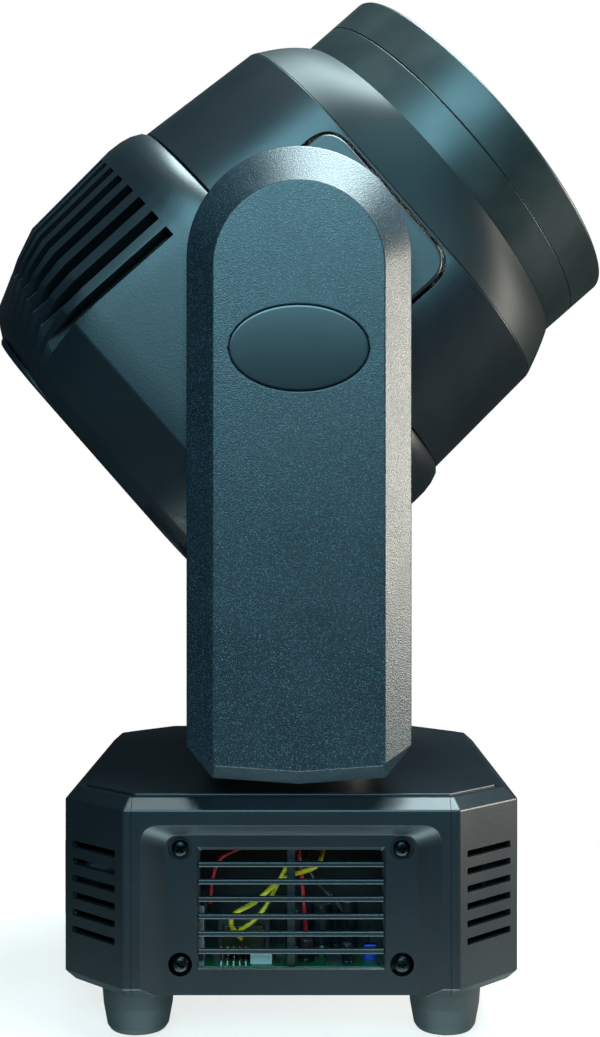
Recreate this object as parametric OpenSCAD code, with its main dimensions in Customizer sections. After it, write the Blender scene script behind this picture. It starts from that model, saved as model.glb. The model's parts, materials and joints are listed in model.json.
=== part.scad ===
// Moving head light: octagonal base, two-armed yoke that pans, head that tilts.
// Origin on the ground under the pan axis. +X is the front, +Z is up.

/* [Base] */
// Depth of the base along X, front to rear
base_x = 189.2; // [180:0.2:225]
// Width of the base along Y, between its two vent panels
base_y = 218; // [210:1:260]
// Size of the chamfer at each corner of the base
base_chamfer = 27; // [22:0.5:31]
// Height of the base shell
base_h = 80.3; // [78:0.1:98]
// Thickness of the plastic walls
wall = 2.5; // [2.1:0.1:3]
// Height of the rubber feet
foot_h = 20.5; // [17:0.5:30]
// Diameter of a foot at its top
foot_d = 30.5; // [26:0.5:36]
// Spacing of the four bracket holes in the floor, along X and along Y
bracket_pitch = 80; // [70:1:90]
// Distance of the pan axis in front of the middle of the base
pan_ahead = 3.2; // [0:0.2:5]

/* [Yoke] */
// Width of a yoke arm across its flat outer face
arm_face_w = 68; // [60:0.5:72]
// Width of a yoke arm over its bevels
arm_w = 90.4; // [84:0.2:108]
// Thickness of a yoke arm
arm_t = 25; // [24:0.5:32]
// Depth of the bevel round the outer face of an arm
arm_bevel = 10; // [8:0.5:12]
// Width of a square stepper motor
motor_w = 42.3; // [36:0.1:51]
// Length of the body of a stepper motor
motor_l = 28; // [24:0.5:33]

/* [Head] */
// Diameter of the front hood
hood_d = 171; // [150:1:176]
// Distance from the tilt axis to the front rim of the hood
hood_front = 111; // [108:1:134]
// Height of the head body, across the tilt axis
head_h = 198; // [192:1:222]
// Width of the head body, along the tilt axis
head_w = 177; // [174:1:200]
// Corner radius of the head body
head_corner_r = 60; // [50:1:70]
// Distance from the tilt axis to the back of the rear cap
cap_back = 113.6; // [112:0.2:130]
// Angle of the head above the horizontal at rest
rest_elev = 41.3; // [30:0.1:60]

/* [Drives] */
// Pitch of the toothed belts
belt_pitch = 3; // [2:0.5:3]
// Teeth on the large pan pulley
pan_teeth = 72; // [66:1:76]
// Teeth on the large tilt pulley
tilt_teeth = 60; // [52:1:64]
// Teeth on a motor pinion
pinion_teeth = 15; // [14:1:18]
// Outer diameter of the hollow pan tube
pan_tube_d = 46; // [42:1:50]

/* [Hidden] */
$fn = 64;
HULL_FN = 32;
EPS = 0.02;
SEAM = 0.4;          // width of a visible joint line
FIT = 0.05;          // radial running clearance
SCREW_R = 1.7;       // shank of a cover screw
SCREW_HEAD_R = 3.5;  // pan head of a cover screw
SCREW_HEAD_H = 2.2;

// base
base_z0 = foot_h;
rim_z = base_z0 + base_h;
lip_in = 4;                        // inset and height of the bottom bevel
bevel_in = 5;                      // inset of the top bevel
bevel_h = 4.5;                     // height of the top bevel
rim_w = 3.5;                       // flat rim round the top plate
wall_z0 = base_z0 + lip_in;
wall_z1 = rim_z - bevel_h;
floor_t = 3;
plate_z0 = rim_z - 2.5;
plate_z1 = rim_z + 0.8;
chassis_t = 3;
chassis_z1 = plate_z0;
chassis_z0 = chassis_z1 - chassis_t;
panel_half = base_x / 2 - base_chamfer - 3.4;
panel_depth = 8.6;
recess_depth = 6;
panel_face = base_y / 2 - recess_depth;
panel_back = base_y / 2 - panel_depth;
recess_half = panel_half - 3.6;
recess_side = 9.5;
recess_top = wall_z1 - 6;
face_half = recess_half - recess_side;
face_top = recess_top - 5;
vent_half = face_half - 14.3;
vent_z1 = face_top - 6.3;
vent_z0 = wall_z0 + 7.8;
slat_n = 6;
slat_pitch = (vent_z1 - vent_z0) / (slat_n + 0.64);
slat_h = 2.2;
vent_screw_x = face_half - 6.2;
vent_screw_z = [wall_z0 + 8.4, face_top - 5.5];
side_slot_n = 6;
side_slot_h = 2.8;
side_slot_pitch = 7.08;
side_slot_z = wall_z1 - 18.2;
side_slot_l = 28.5;
bracket_hole_r = 3.3;
foot_x = panel_half;
foot_y = base_y / 2 - 29;
post_x = base_x / 2 - 34;
post_y = base_y / 2 - 47;
post_w = 10;
web_t = 1.6;
front_face = base_x / 2;
window_y = -24;
window_w = 60;
window_h = 32;
controls_z = (wall_z0 + wall_z1) / 2 + 4;
button_r = 5;
button_y = [33, 53];
button_z = [controls_z - 9, controls_z + 9];
button_out = 1.6;    // how far a button stands proud
rear_z = controls_z - 4;
board_x = front_face - wall - 8;   // back of the display module
supply_x = [-40, 44];
supply_y = -(panel_back - 8);
supply_w = 34;
wire_r = 1.1;
inlet_y = 50;
fuse_y = 12;
signal_y = [-22, -56];
board_t = 1.6;

// pan joint
pan_tube_r = pan_tube_d / 2;
pan_tube_bore = pan_tube_r - 6;
race_r = pan_tube_r + 4;
bearing_r = race_r + 8;
pan_flange_r = bearing_r + 2;
bearing_z0 = plate_z1 + 1.6;

// yoke bridge and arms
bridge_z0 = rim_z + 14.2;
frame_t = 3;
frame_z0 = bridge_z0 + wall + 0.5;
frame_z1 = frame_z0 + frame_t;
tilt_motor_z = frame_z1 + 1 + motor_w / 2;
bridge_z1 = tilt_motor_z + motor_w / 2 + 3 + wall;
frame_disc_r = bearing_r + 4;
neck_z0 = plate_z1 + 1.5;
neck_bore_r = pan_flange_r + 1;
bridge_half = max(frame_disc_r, motor_w / 2 + 3) + 1 + wall;
sweep_r = max(norm([hood_front, hood_d / 2]), norm([cap_back - 6, head_h / 2 - 12]));
tilt_z = bridge_z1 + 4.1 + sweep_r;
arm_in = head_w / 2 + 4.5;
arm_out = arm_in + arm_t;
arm_split = arm_in + 11;
arm_tip_z = rim_z + 6;
arm_half = arm_w / 2;
face_arm_half = arm_face_w / 2;
arch_rise = 3.7;                   // outer arch centre above the tilt axis
face_drop = 1.2;                   // centre of the flat face's arch below it
upright_y0 = arm_in + 5;
upright_y1 = upright_y0 + frame_t;
upright_half = face_arm_half - 4;
badge_z = tilt_z - 33.3;
badge_a = 28.2;
badge_b = 17.4;
badge_deep = 1.8;
badge_t = 1;
inner_screw_z = [tilt_z - 128, tilt_z - 50];
inner_screw_x = upright_half + SCREW_R + 3.3;
boss_r = SCREW_R + 2.4;

// drives
pan_pulley_r = pan_teeth * belt_pitch / (2 * PI);
tilt_pulley_r = tilt_teeth * belt_pitch / (2 * PI);
pinion_r = pinion_teeth * belt_pitch / (2 * PI);
belt_w = 6;
belt_t = 1.4;
pan_drive_z = frame_z1 + 2;
pan_motor_y = -(pan_pulley_r + pinion_r + 15);
pan_motor_z0 = pan_drive_z + belt_w + 8;
tilt_drive_y = upright_y1 + 3.5;
tilt_shaft_r = 12;
tilt_bore_r = 8;
tilt_race_r = 20;
motor_shaft_r = 2.5;
motor_bore = 12;

// head, measured along its own axis from the tilt axis
hood_r = hood_d / 2;
hood_wall = 3;
hood_root = hood_front - 34;
hood_seam = hood_front - 18;
collar_back = hood_root - 23;
body_taper = 4;                    // half height lost along the body
body_back = -5;
front_half = head_h / 2 - body_taper;
cheek_y0 = head_w / 2 - 11;
cheek_t = 3;
pad_half = 38.5;
pad_front = collar_back - 3;
pad_gap = 1.5;
pad_out = head_w / 2 + 1;
lens_n = 6;
lens_r = 22;
lens_ring = 2 * lens_r + 5;
lens_back = collar_back - 4;
lens_front = hood_front - 14;
led_z = lens_back - 5;
sink_z1 = led_z - board_t;
sink_base = 6;
sink_z0 = -(tilt_shaft_r + 4);
fan_z1 = sink_z0 - 4;
fan_t = 25;
fan_z0 = fan_z1 - fan_t;
fan_half = 46;
fan_bore = 43;
fan_hub_r = 18;
fan_pin_r = 2;
louver_n = 9;
louver_step = 8.6;
louver_w = 4.9;
louver_deep = 12;
louver_front = -28;
louver_back = -(cap_back - 12.6);
cap_corner_r = head_corner_r + 2;
cap_arc_x = head_h / 2 + 4.5 - cap_corner_r;
cap_arc_y = head_w / 2 + 2 - cap_corner_r;
plate_back = cap_back + 1.4;
flat_head_h = 1.9;
plate_sunk = 1.2;   // depth of the rear plate's seat in the cap

// half height, half width and place of each section of the rear cap
CAP = [
    [head_h / 2 + 1, head_w / 2 - 0.5, body_back - EPS],
    [head_h / 2 + 4, head_w / 2 + 1.5, body_back - 6],
    [head_h / 2 + 5.4, head_w / 2 + 2, body_back - 17.6],
    [head_h / 2 + 2.2, head_w / 2 + 1.8, -(cap_back - 43)],
    [head_h / 2 - 3, head_w / 2 + 1.5, -(cap_back - 30.6)],
    [head_h / 2 - 12, head_w / 2 - 13, -(cap_back - 6)],
    [head_h / 2 - 21, head_w / 2 - 20, -cap_back]
];

// ---------- shared shapes ----------

// Octagonal plan of the base, drawn in by an inset
module base_plan(inset = 0) {
    hx = base_x / 2 - inset;
    hy = base_y / 2 - inset;
    c = base_chamfer - inset * (2 - sqrt(2));
    polygon([
        [hx, hy - c], [hx - c, hy], [c - hx, hy], [-hx, hy - c],
        [-hx, c - hy], [c - hx, -hy], [hx - c, -hy], [hx, c - hy]
    ]);
}

module base_slab(z0, z1, inset) {
    translate([0, 0, z0]) linear_extrude(z1 - z0) base_plan(inset);
}

// Whole outside of the base with its bevels
module base_outside() {
    hull() {
        base_slab(base_z0, base_z0 + EPS, lip_in);
        base_slab(wall_z0, wall_z1, 0);
        base_slab(rim_z - EPS, rim_z, bevel_in);
    }
}

module base_ring() {
    difference() {
        base_outside();
        base_slab(wall_z0, wall_z1, wall);
        base_slab(base_z0 - 1, wall_z0 + 1, lip_in + wall);
        base_slab(wall_z1 - 1, rim_z + 1, bevel_in + rim_w);
    }
}

// Block at one end of the base, on the +Y side, that a vent panel fills
module end_block()
    translate([-panel_half, panel_back, 0]) cube([2 * panel_half, panel_depth + 1, rim_z + 1]);

// 2D rounded rectangle, centred
module rounded(half_x, half_y, r) {
    offset(r = r, $fn = HULL_FN) square([2 * (half_x - r), 2 * (half_y - r)], center = true);
}

// Thin slab of a rounded section of the head
module section(half_x, half_y, r, z) {
    translate([0, 0, z]) linear_extrude(EPS) rounded(half_x, half_y, r);
}

module at_head() {
    translate([0, 0, tilt_z]) rotate([0, 90 - rest_elev, 0]) children();
}

module along_y(y0, y1) {
    translate([0, y1, 0]) rotate([90, 0, 0]) linear_extrude(y1 - y0) children();
}

module tube(outer, inner, h) {
    linear_extrude(h) difference() {
        circle(outer);
        circle(inner);
    }
}

// Pan-head screw with a cross recess, head up, shank down from z = 0
module screw(length) {
    difference() {
        union() {
            cylinder(r = SCREW_HEAD_R, h = SCREW_HEAD_H);
            translate([0, 0, -length]) cylinder(r = SCREW_R, h = length + EPS);
        }
        for (a = [0, 90]) rotate(a)
            translate([-2, -0.4, SCREW_HEAD_H - 1]) cube([4, 0.8, 2]);
    }
}

// The base's own middle, behind the pan axis
module on_base() {
    translate([-pan_ahead, 0, 0]) children();
}

module left_and_right() {
    children();
    mirror([0, 1, 0]) children();
}

// Toothed pulley with two flanges and a bore
module pulley(teeth, bore, h = belt_w) {
    r = teeth * belt_pitch / (2 * PI);
    difference() {
        union() {
            cylinder(r = r - 0.4, h = h);
            for (z = [-1, h]) translate([0, 0, z]) cylinder(r = r + 1.6, h = 1);
        }
        for (i = [0:teeth - 1]) rotate(i * 360 / teeth)
            translate([r - 1, -0.5, 0.1]) cube([1.5, 1, h - 0.2]);
        translate([0, 0, -2]) cylinder(r = bore, h = h + 4);
    }
}

// Belt round a large pulley at the origin and a small one at a distance along Y
module belt(big_r, small_r, distance) {
    linear_extrude(belt_w - 0.4) difference() {
        hull() {
            circle(big_r + belt_t);
            translate([0, distance]) circle(small_r + belt_t);
        }
        hull() {
            circle(big_r);
            translate([0, distance]) circle(small_r);
        }
    }
}

// Stepper motor with its face at z = 0 and its body behind it
module stepper() {
    h = motor_w / 2;
    c = motor_w / 9;
    difference() {
        translate([0, 0, -motor_l]) linear_extrude(motor_l) polygon([
            [h, h - c], [h - c, h], [c - h, h], [-h, h - c],
            [-h, c - h], [c - h, -h], [h - c, -h], [h, c - h]
        ]);
        translate([0, 0, -motor_bore]) cylinder(r = motor_shaft_r + FIT, h = motor_bore + 1);
        for (sx = [-1, 1], sy = [-1, 1])
            translate([sx * (h - c - 1), sy * (h - c - 1), -4]) cylinder(r = 1.5, h = 5);
    }
}

// Motor shaft with its toothed pinion; the motor's face is a distance behind z = 0
module pinion(behind) {
    pulley(pinion_teeth, motor_shaft_r);
    translate([0, 0, 1 - behind - motor_bore]) cylinder(r = motor_shaft_r + EPS, h = behind + motor_bore + belt_w);
}

// ---------- base ----------

module base_floor() color("dimgray") difference() {
    base_slab(base_z0, base_z0 + floor_t, lip_in + wall);
    for (sx = [-1, 1], sy = [-1, 1])
        translate([sx * bracket_pitch / 2, sy * bracket_pitch / 2, base_z0 - 1])
            cylinder(r = bracket_hole_r, h = floor_t + 2);
    for (sx = [-1, 1], sy = [-1, 1])
        translate([sx * foot_x, sy * foot_y, base_z0 - 1]) cylinder(r = 2.6, h = floor_t + 2);
    translate([0, 0, base_z0 - 1]) cylinder(r = 8, h = floor_t + 2);
}

// Six slots through one chamfer face of the base
module side_slots() {
    for (i = [0:side_slot_n - 1])
        translate([
            base_x / 2 - base_chamfer / 2, base_y / 2 - base_chamfer / 2,
            side_slot_z - i * side_slot_pitch
        ])
            rotate(45) cube([4 * wall, side_slot_l, side_slot_h], center = true);
}

module base_half() {
    difference() {
        base_ring();
        left_and_right() end_block();
        translate([-base_x, -base_y, 0]) cube([base_x, 2 * base_y, 2 * rim_z]);
        left_and_right() side_slots();
    }
}

module base_shell_front() color("#1d2a30") difference() {
    base_half();
    translate([front_face - wall - 1, window_y - window_w / 2, controls_z - window_h / 2])
        cube([wall + 2, window_w, window_h]);
    for (y = button_y, z = button_z)
        translate([front_face - wall - 1, y, z]) rotate([0, 90, 0])
            cylinder(r = button_r + 2 * FIT, h = wall + 2);
}

module base_shell_rear() color("#1d2a30") difference() {
    mirror([1, 0, 0]) base_half();
    translate([-front_face - 1, inlet_y - 14, rear_z - 10]) cube([wall + 2, 28, 20]);
    translate([-front_face - 1, fuse_y, rear_z]) rotate([0, 90, 0]) cylinder(r = 6.5, h = wall + 2);
    for (y = signal_y)
        translate([-front_face - 1, y, rear_z]) rotate([0, 90, 0]) cylinder(r = 12, h = wall + 2);
}

// 2D outline of the sunken face of a vent panel, in X and Z, open at the bottom
module recess_outline(half, top) {
    r = 6;
    bottom = base_z0 - 8;
    translate([0, (top + bottom) / 2]) rounded(half, (top - bottom) / 2, r);
}

module vent_panel() color("#1f2d33") difference() {
    intersection() {
        base_outside();
        end_block();
    }
    // sunken face with sloping sides
    hull() {
        along_y(panel_face, panel_face + EPS) recess_outline(face_half, face_top);
        along_y(base_y / 2, base_y / 2 + EPS) recess_outline(recess_half, recess_top);
    }
    // inside of the base
    base_slab(base_z0 - 1, base_z0 + floor_t, lip_in + wall);
    base_slab(plate_z0, rim_z + 1, bevel_in + rim_w);
    // opening between the slats, with its bevelled edge
    difference() {
        translate([-vent_half, panel_back - 1, vent_z0]) cube([2 * vent_half, panel_depth, vent_z1 - vent_z0]);
        for (i = [0:slat_n - 1])
            translate([0, panel_face - 1.4, vent_z1 - (i + 0.82) * slat_pitch])
                cube([2 * vent_half + 1, 2.4, slat_h], center = true);
        translate([0, panel_back + 0.5, rim_z / 2]) cube([3.6, 1, rim_z], center = true);
    }
    for (sx = [-1, 1], z = vent_screw_z) translate([sx * vent_screw_x, 0, z]) rotate([-90, 0, 0]) {
        cylinder(r = SCREW_R, h = base_y);
        translate([0, 0, panel_face - 1.2]) cylinder(r = 4.85, h = 20);
    }
    seam_grooves();
}

// Fine grooves that show the joint between a vent panel and its neighbours
module seam_grooves() {
    for (sx = [-1, 1])
        translate([sx * panel_half, base_y / 2, rim_z / 2]) cube([SEAM, 1.4, 2 * rim_z], center = true);
}

module vent_panel_screws() color("#101418") left_and_right()
    for (sx = [-1, 1], z = vent_screw_z)
        translate([sx * vent_screw_x, panel_face - 1.2, z]) rotate([-90, 0, 0]) screw(5);

module base_top_plate() color("#1b262b") difference() {
    base_slab(plate_z0, plate_z1, bevel_in + rim_w);
    translate([pan_ahead, 0, plate_z0 - 1]) cylinder(r = pan_tube_r + 0.6, h = 10);
}

module chassis_bridge() color("silver") difference() {
    union() {
        translate([-post_x, -post_y, chassis_z0]) cube([2 * post_x, 2 * post_y, chassis_t]);
        for (sx = [-1, 1], sy = [-1, 1])
            translate([sx * (post_x - post_w / 2), sy * (post_y - post_w / 2), base_z0 + floor_t])
                translate([-post_w / 2, -post_w / 2, 0]) cube([post_w, post_w, chassis_z0 - base_z0 - floor_t + EPS]);
        for (sy = [-1, 1]) translate([-post_x + EPS, sy * (post_y - post_w / 2) - web_t / 2, base_z0 + floor_t])
            cube([2 * (post_x - EPS), web_t, chassis_z0 - base_z0 - floor_t + EPS]);
    }
    translate([pan_ahead, 0, chassis_z0 - 1]) cylinder(r = pan_tube_r, h = chassis_t + 2);
    // cable window, next to the wires of the supply
    translate([12, -post_y - 1, chassis_z0 - 16]) rotate([-90, 0, 0]) cylinder(r = 9, h = post_w + 2);
}

module pan_tube() color("silver") difference() {
    union() {
        translate([0, 0, chassis_z0 - 4]) cylinder(r = pan_flange_r, h = 4);
        translate([0, 0, chassis_z0 - EPS]) cylinder(r = pan_tube_r, h = pan_drive_z + belt_w + 1 - chassis_z0);
    }
    translate([0, 0, chassis_z0 - 5]) cylinder(r = pan_tube_bore, h = 60);
}

module pan_pulley() color("#d8d8d0") translate([0, 0, pan_drive_z]) pulley(pan_teeth, pan_tube_r);

module pan_bearing_inner() color("gainsboro")
    translate([0, 0, bearing_z0]) tube(race_r, pan_tube_r, frame_z1 - bearing_z0);

module pan_bearing_outer() color("gainsboro") difference() {
    union() {
        translate([0, 0, bearing_z0 + 1]) cylinder(r = bearing_r, h = frame_z1 - bearing_z0 - 1);
        translate([0, 0, frame_z0 - 3]) cylinder(r = pan_flange_r, h = 3);
    }
    translate([0, 0, bearing_z0 - 1]) cylinder(r = race_r + FIT, h = 30);
}

module foot() {
    r = foot_d / 2;
    difference() {
        rotate_extrude() union() {
            polygon([[0, 3], [r - 2, 3], [r, foot_h], [0, foot_h]]);
            polygon([[0, 0], [r - 5, 0], [r - 5, 3 + EPS], [0, 3 + EPS]]);
            intersection() {
                translate([r - 5, 3]) circle(3);
                translate([r - 5 - EPS, 0]) square([4, 3 + EPS]);
            }
        }
        translate([0, 0, -1]) cylinder(r = 6, h = foot_h - 5);
        cylinder(r = 2.2, h = foot_h + 1);
    }
}

module base_feet() color("#15191b")
    for (sx = [-1, 1], sy = [-1, 1]) translate([sx * foot_x, sy * foot_y, 0]) foot();

module power_supply_board() color("#2d7a3a")
    translate([supply_x[0], supply_y, base_z0 + floor_t + 4])
        cube([supply_x[1] - supply_x[0], supply_w, board_t]);

// Heavy parts on the supply board, and its four standoffs
module power_supply_parts() {
    top = base_z0 + floor_t + 4 + board_t;
    color("gold") translate([supply_x[0] + 10, supply_y + 8, top]) cube([24, 20, 20]);
    color("steelblue") translate([supply_x[1] - 12, supply_y + 7, top]) cylinder(r = 5, h = 14);
    color("#303030") for (i = [0:2])
        translate([supply_x[0] + 44 + 11 * i, supply_y + 22, top]) cylinder(r = 4.5, h = 18 + 2 * i);
    color("silver") translate([supply_x[0] + 2, supply_y + 4, top]) cube([3, 26, 24]);
    color("silver") for (x = [supply_x[0] + 4, supply_x[1] - 4], y = [supply_y + 4, supply_y + supply_w - 4])
        translate([x, y, base_z0 + floor_t]) cylinder(r = 2.5, h = 4);
}

module control_board() color("#2d7a3a")
    translate([board_x - board_t, window_y - window_w / 2 - 5, controls_z - 24]) cube([board_t, 130, 42]);

module display_module() color("#38444a")
    translate([board_x, window_y - window_w / 2 + 1, controls_z - window_h / 2 + 1])
        cube([front_face - wall - board_x, window_w - 2, window_h - 2]);

module display_window() color("#0b1013")
    translate([front_face - wall, window_y - window_w / 2, controls_z - window_h / 2])
        cube([wall - 0.4, window_w, window_h]);

// Button cap with its stem resting on the switch of the control board
module button_at(y, z) color("#2a363c") translate([front_face, y, z]) rotate([0, 90, 0]) {
    translate([0, 0, -wall - 1.5]) cylinder(r = button_r, h = wall + 1.5 + button_out);
    translate([0, 0, board_x + 1.5 - front_face]) cylinder(r = 2, h = 5 + EPS);
}

module power_inlet() color("#14181a") difference() {
    union() {
        translate([-front_face - 2, inlet_y - 24, rear_z - 12]) cube([2, 48, 24]);
        translate([-front_face - EPS, inlet_y - 14, rear_z - 10]) cube([26, 28, 20]);
    }
    translate([-front_face - 3, inlet_y - 12, rear_z - 8]) cube([20, 24, 16]);
    for (sy = [-1, 1]) translate([-front_face - 3, inlet_y + sy * 20, rear_z]) rotate([0, 90, 0])
        cylinder(r = 1.7, h = 4);
}

module fuse_cap() color("#101314") translate([-front_face, fuse_y, rear_z]) rotate([0, 90, 0]) {
    translate([0, 0, -7]) cylinder(r = 7.5, h = 7);
    translate([0, 0, -EPS]) cylinder(r = 6.5, h = 30);
}

// Panel socket: square flange outside, round body through the wall
module signal_socket(y, pins) {
    translate([-front_face, y, rear_z]) rotate([0, 90, 0]) {
        difference() {
            union() {
                translate([-15.5, -13, -2]) cube([31, 26, 2]);
                translate([0, 0, -EPS]) cylinder(r = 12, h = 24);
            }
            translate([0, 0, -3]) cylinder(r = 8.2, h = 18);
            for (s = [-1, 1]) translate([s * 12.2, s * 9.7, -3]) cylinder(r = 1.6, h = 4);
        }
        for (a = [0, 120, 240]) rotate(a)
            translate([4, 0, pins ? 2 : 12]) cylinder(r = 1.2, h = pins ? 14 : 4);
    }
}

module signal_input_socket() color("#20262a") signal_socket(signal_y[0], true);
module signal_output_socket() color("#20262a") signal_socket(signal_y[1], false);

// Wires between the supply board and the hollow pan tube
module wire(points) {
    for (i = [0:len(points) - 2]) hull() {
        translate(points[i]) sphere(wire_r, $fn = 8);
        translate(points[i + 1]) sphere(wire_r, $fn = 8);
    }
}

module wire_loom() {
    top = base_z0 + floor_t + 32;
    color("#d8c020") wire([
        [-22, supply_y + 14, top - 5.4], [-16, supply_y + 6, top], [6, supply_y + 8, top + 7],
        [12, supply_y + 20, top + 20]
    ]);
    color("#c02020") wire([
        [-30, supply_y + 16, top + 22], [-12, supply_y + 12, top + 26], [6, supply_y + 18, top + 21],
        [12, supply_y + 20, top + 20]
    ]);
}

// ---------- yoke ----------

// 2D outline of an arm at its edge, in X and Z
module arm_edge() {
    cut = [10.5, 13];
    tip = arm_tip_z;
    low = tip + 2.4;
    arch = tilt_z + arch_rise;
    translate([0, arch]) circle(arm_half);
    polygon([
        [-arm_half, arch], [-arm_half, low + cut.y], [cut.x - arm_half, low], [0, tip],
        [arm_half - cut.x, low], [arm_half, low + cut.y], [arm_half, arch]
    ]);
}

// 2D outline of the flat outer face of an arm
module arm_face() {
    low = arm_tip_z + 9;
    arch = tilt_z - face_drop;
    translate([0, arch]) circle(face_arm_half);
    polygon([
        [-face_arm_half, arch], [-face_arm_half, low], [0, low - 2.4],
        [face_arm_half, low], [face_arm_half, arch]
    ]);
}

// Bevelled body of an arm, drawn in by an inset
module arm_bulk(inset, y_in) hull() {
    along_y(arm_out - inset - EPS, arm_out - inset) offset(delta = -inset) arm_face();
    along_y(y_in, arm_out - arm_bevel) offset(delta = -inset) arm_edge();
}

// The outer cover of the left arm: bevelled shell with a sunken elliptical panel
module arm_outer_cover() difference() {
    union() {
        difference() {
            arm_bulk(0, arm_split);
            arm_bulk(wall, arm_split - 1);
        }
        // thicker wall behind the badge
        along_y(arm_out - wall - badge_deep, arm_out - EPS)
            translate([0, badge_z]) scale([badge_a + 2, badge_b + 2]) circle(1);
        // screw bosses
        for (sx = [-1, 1], z = inner_screw_z)
            along_y(arm_split, arm_out - wall - 3) translate([sx * inner_screw_x, z]) circle(boss_r);
    }
    along_y(arm_out - badge_deep, arm_out + 1) translate([0, badge_z]) scale([badge_a, badge_b]) circle(1);
    for (sx = [-1, 1], z = inner_screw_z)
        along_y(arm_split - 1, arm_split + 5) translate([sx * inner_screw_x, z]) circle(SCREW_R);
}

module arm_outer_cover_left() color("#1e2c33") arm_outer_cover();
module arm_outer_cover_right() color("#1e2c33") mirror([0, 1, 0]) arm_outer_cover();

// 2D section of the bridge between the arms
module bridge_section(inset) {
    r = 5;
    translate([0, (bridge_z0 + bridge_z1) / 2])
        rounded(bridge_half - inset, (bridge_z1 - bridge_z0) / 2 - inset, r - inset);
}

module arm_inner_cover() difference() {
    along_y(arm_in, arm_split) arm_edge();
    along_y(arm_in + wall, arm_split + 1) difference() {
        offset(delta = -wall) arm_edge();
        for (sx = [-1, 1], z = inner_screw_z) translate([sx * inner_screw_x, z]) circle(boss_r);
    }
    along_y(arm_in - 1, arm_in + wall + 1) intersection() {
        bridge_section(wall);
        offset(delta = -wall) arm_edge();
    }
    along_y(arm_in - 1, arm_in + wall + 1) translate([0, tilt_z]) circle(tilt_race_r + 2);
    for (sx = [-1, 1], z = inner_screw_z) {
        along_y(arm_in - 1, arm_split + 1) translate([sx * inner_screw_x, z]) circle(SCREW_R);
        along_y(arm_in - 1, arm_in + SCREW_HEAD_H + 0.2) translate([sx * inner_screw_x, z])
            circle(SCREW_HEAD_R + 0.4);
    }
}

module arm_inner_cover_left() color("#1b2830") arm_inner_cover();
module arm_inner_cover_right() color("#1b2830") mirror([0, 1, 0]) arm_inner_cover();

module arm_badges() color("#1a2329") left_and_right()
    along_y(arm_out - badge_deep, arm_out - badge_deep + badge_t)
        translate([0, badge_z]) scale([badge_a - 0.2, badge_b - 0.2]) circle(1);

module arm_cover_screws() color("#101418") left_and_right()
    for (sx = [-1, 1], z = inner_screw_z)
        translate([sx * inner_screw_x, arm_in + SCREW_HEAD_H + 0.2, z]) rotate([90, 0, 0])
            screw(arm_split - arm_in - SCREW_HEAD_H + 4);

module bridge_cover() color("#1b2830") {
    difference() {
        along_y(-arm_in, arm_in) bridge_section(0);
        along_y(-arm_in - 1, arm_in + 1) bridge_section(wall);
        translate([0, 0, bridge_z0 - 1]) cylinder(r = neck_bore_r, h = wall + 2);
    }
    // neck that hides the bearing
    translate([0, 0, neck_z0]) tube(neck_bore_r + 2, neck_bore_r, bridge_z0 + EPS - neck_z0);
    // standoffs under the yoke frame
    for (sx = [-1, 1], sy = [-1, 1])
        translate([sx * (upright_half - 6), sy * (arm_in - 20), bridge_z0 + wall - EPS])
            cylinder(r = 3, h = frame_z0 - bridge_z0 - wall + EPS);
}

module yoke_frame() color("silver") difference() {
    union() {
        translate([-upright_half, -upright_y1, frame_z0]) cube([2 * upright_half, 2 * upright_y1, frame_t]);
        translate([0, 0, frame_z0]) cylinder(r = frame_disc_r, h = frame_t);
        left_and_right() along_y(upright_y0, upright_y1) {
            translate([0, tilt_z]) circle(upright_half);
            translate([-upright_half, frame_z0]) square([2 * upright_half, tilt_z - frame_z0]);
        }
        // bracket that holds the pan motor above its belt
        translate([-motor_w / 2, pan_motor_y - motor_w / 2, pan_motor_z0 - 2]) cube([motor_w, motor_w, 2]);
        for (sx = [-1, 1])
            translate([sx * (motor_w / 2 - 1) - 1, pan_motor_y - motor_w / 2, frame_z0])
                cube([2, motor_w / 2, pan_motor_z0 - 2 - frame_z0 + EPS]);
    }
    translate([0, 0, frame_z0 - 1]) cylinder(r = bearing_r, h = frame_t + 2);
    translate([0, pan_motor_y, pan_motor_z0 - 3]) cylinder(r = 5, h = 4);
    left_and_right() along_y(upright_y0 - 1, upright_y1 + 1) translate([0, tilt_z]) circle(tilt_race_r);
    along_y(upright_y0 - 1, upright_y1 + 1) translate([0, tilt_motor_z]) circle(5);
}

module pan_motor() color("#303438")
    translate([0, pan_motor_y, pan_motor_z0]) mirror([0, 0, 1]) stepper();

module pan_pinion() color("goldenrod")
    translate([0, pan_motor_y, pan_drive_z + belt_w]) mirror([0, 0, 1])
        pinion(pan_motor_z0 - pan_drive_z - belt_w);

module pan_belt() color("#101010")
    translate([0, 0, pan_drive_z + 0.2]) belt(pan_pulley_r, pinion_r, pan_motor_y);

module tilt_motor() color("#303438")
    translate([0, upright_y0, tilt_motor_z]) rotate([-90, 0, 0]) stepper();

module tilt_pinion() color("goldenrod")
    translate([0, tilt_drive_y, tilt_motor_z]) rotate([-90, 0, 0]) pinion(tilt_drive_y - upright_y0);

module tilt_belt() color("#101010")
    translate([0, tilt_drive_y + 0.2, tilt_z]) rotate([-90, 0, 0])
        belt(tilt_pulley_r, pinion_r, tilt_z - tilt_motor_z);

module tilt_bearings() color("gainsboro") left_and_right()
    along_y(upright_y0 - 2, upright_y1 + 1) translate([0, tilt_z]) difference() {
        circle(tilt_race_r);
        circle(tilt_shaft_r + FIT);
    }

// ---------- head ----------

module body_solid(inset) {
    hull() {
        section(head_h / 2 - inset, head_w / 2 - inset, head_corner_r - inset, body_back);
        section(head_h / 2 - body_taper - inset, head_w / 2 - 2 - inset, head_corner_r - 2 - inset, collar_back - EPS);
    }
}

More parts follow.
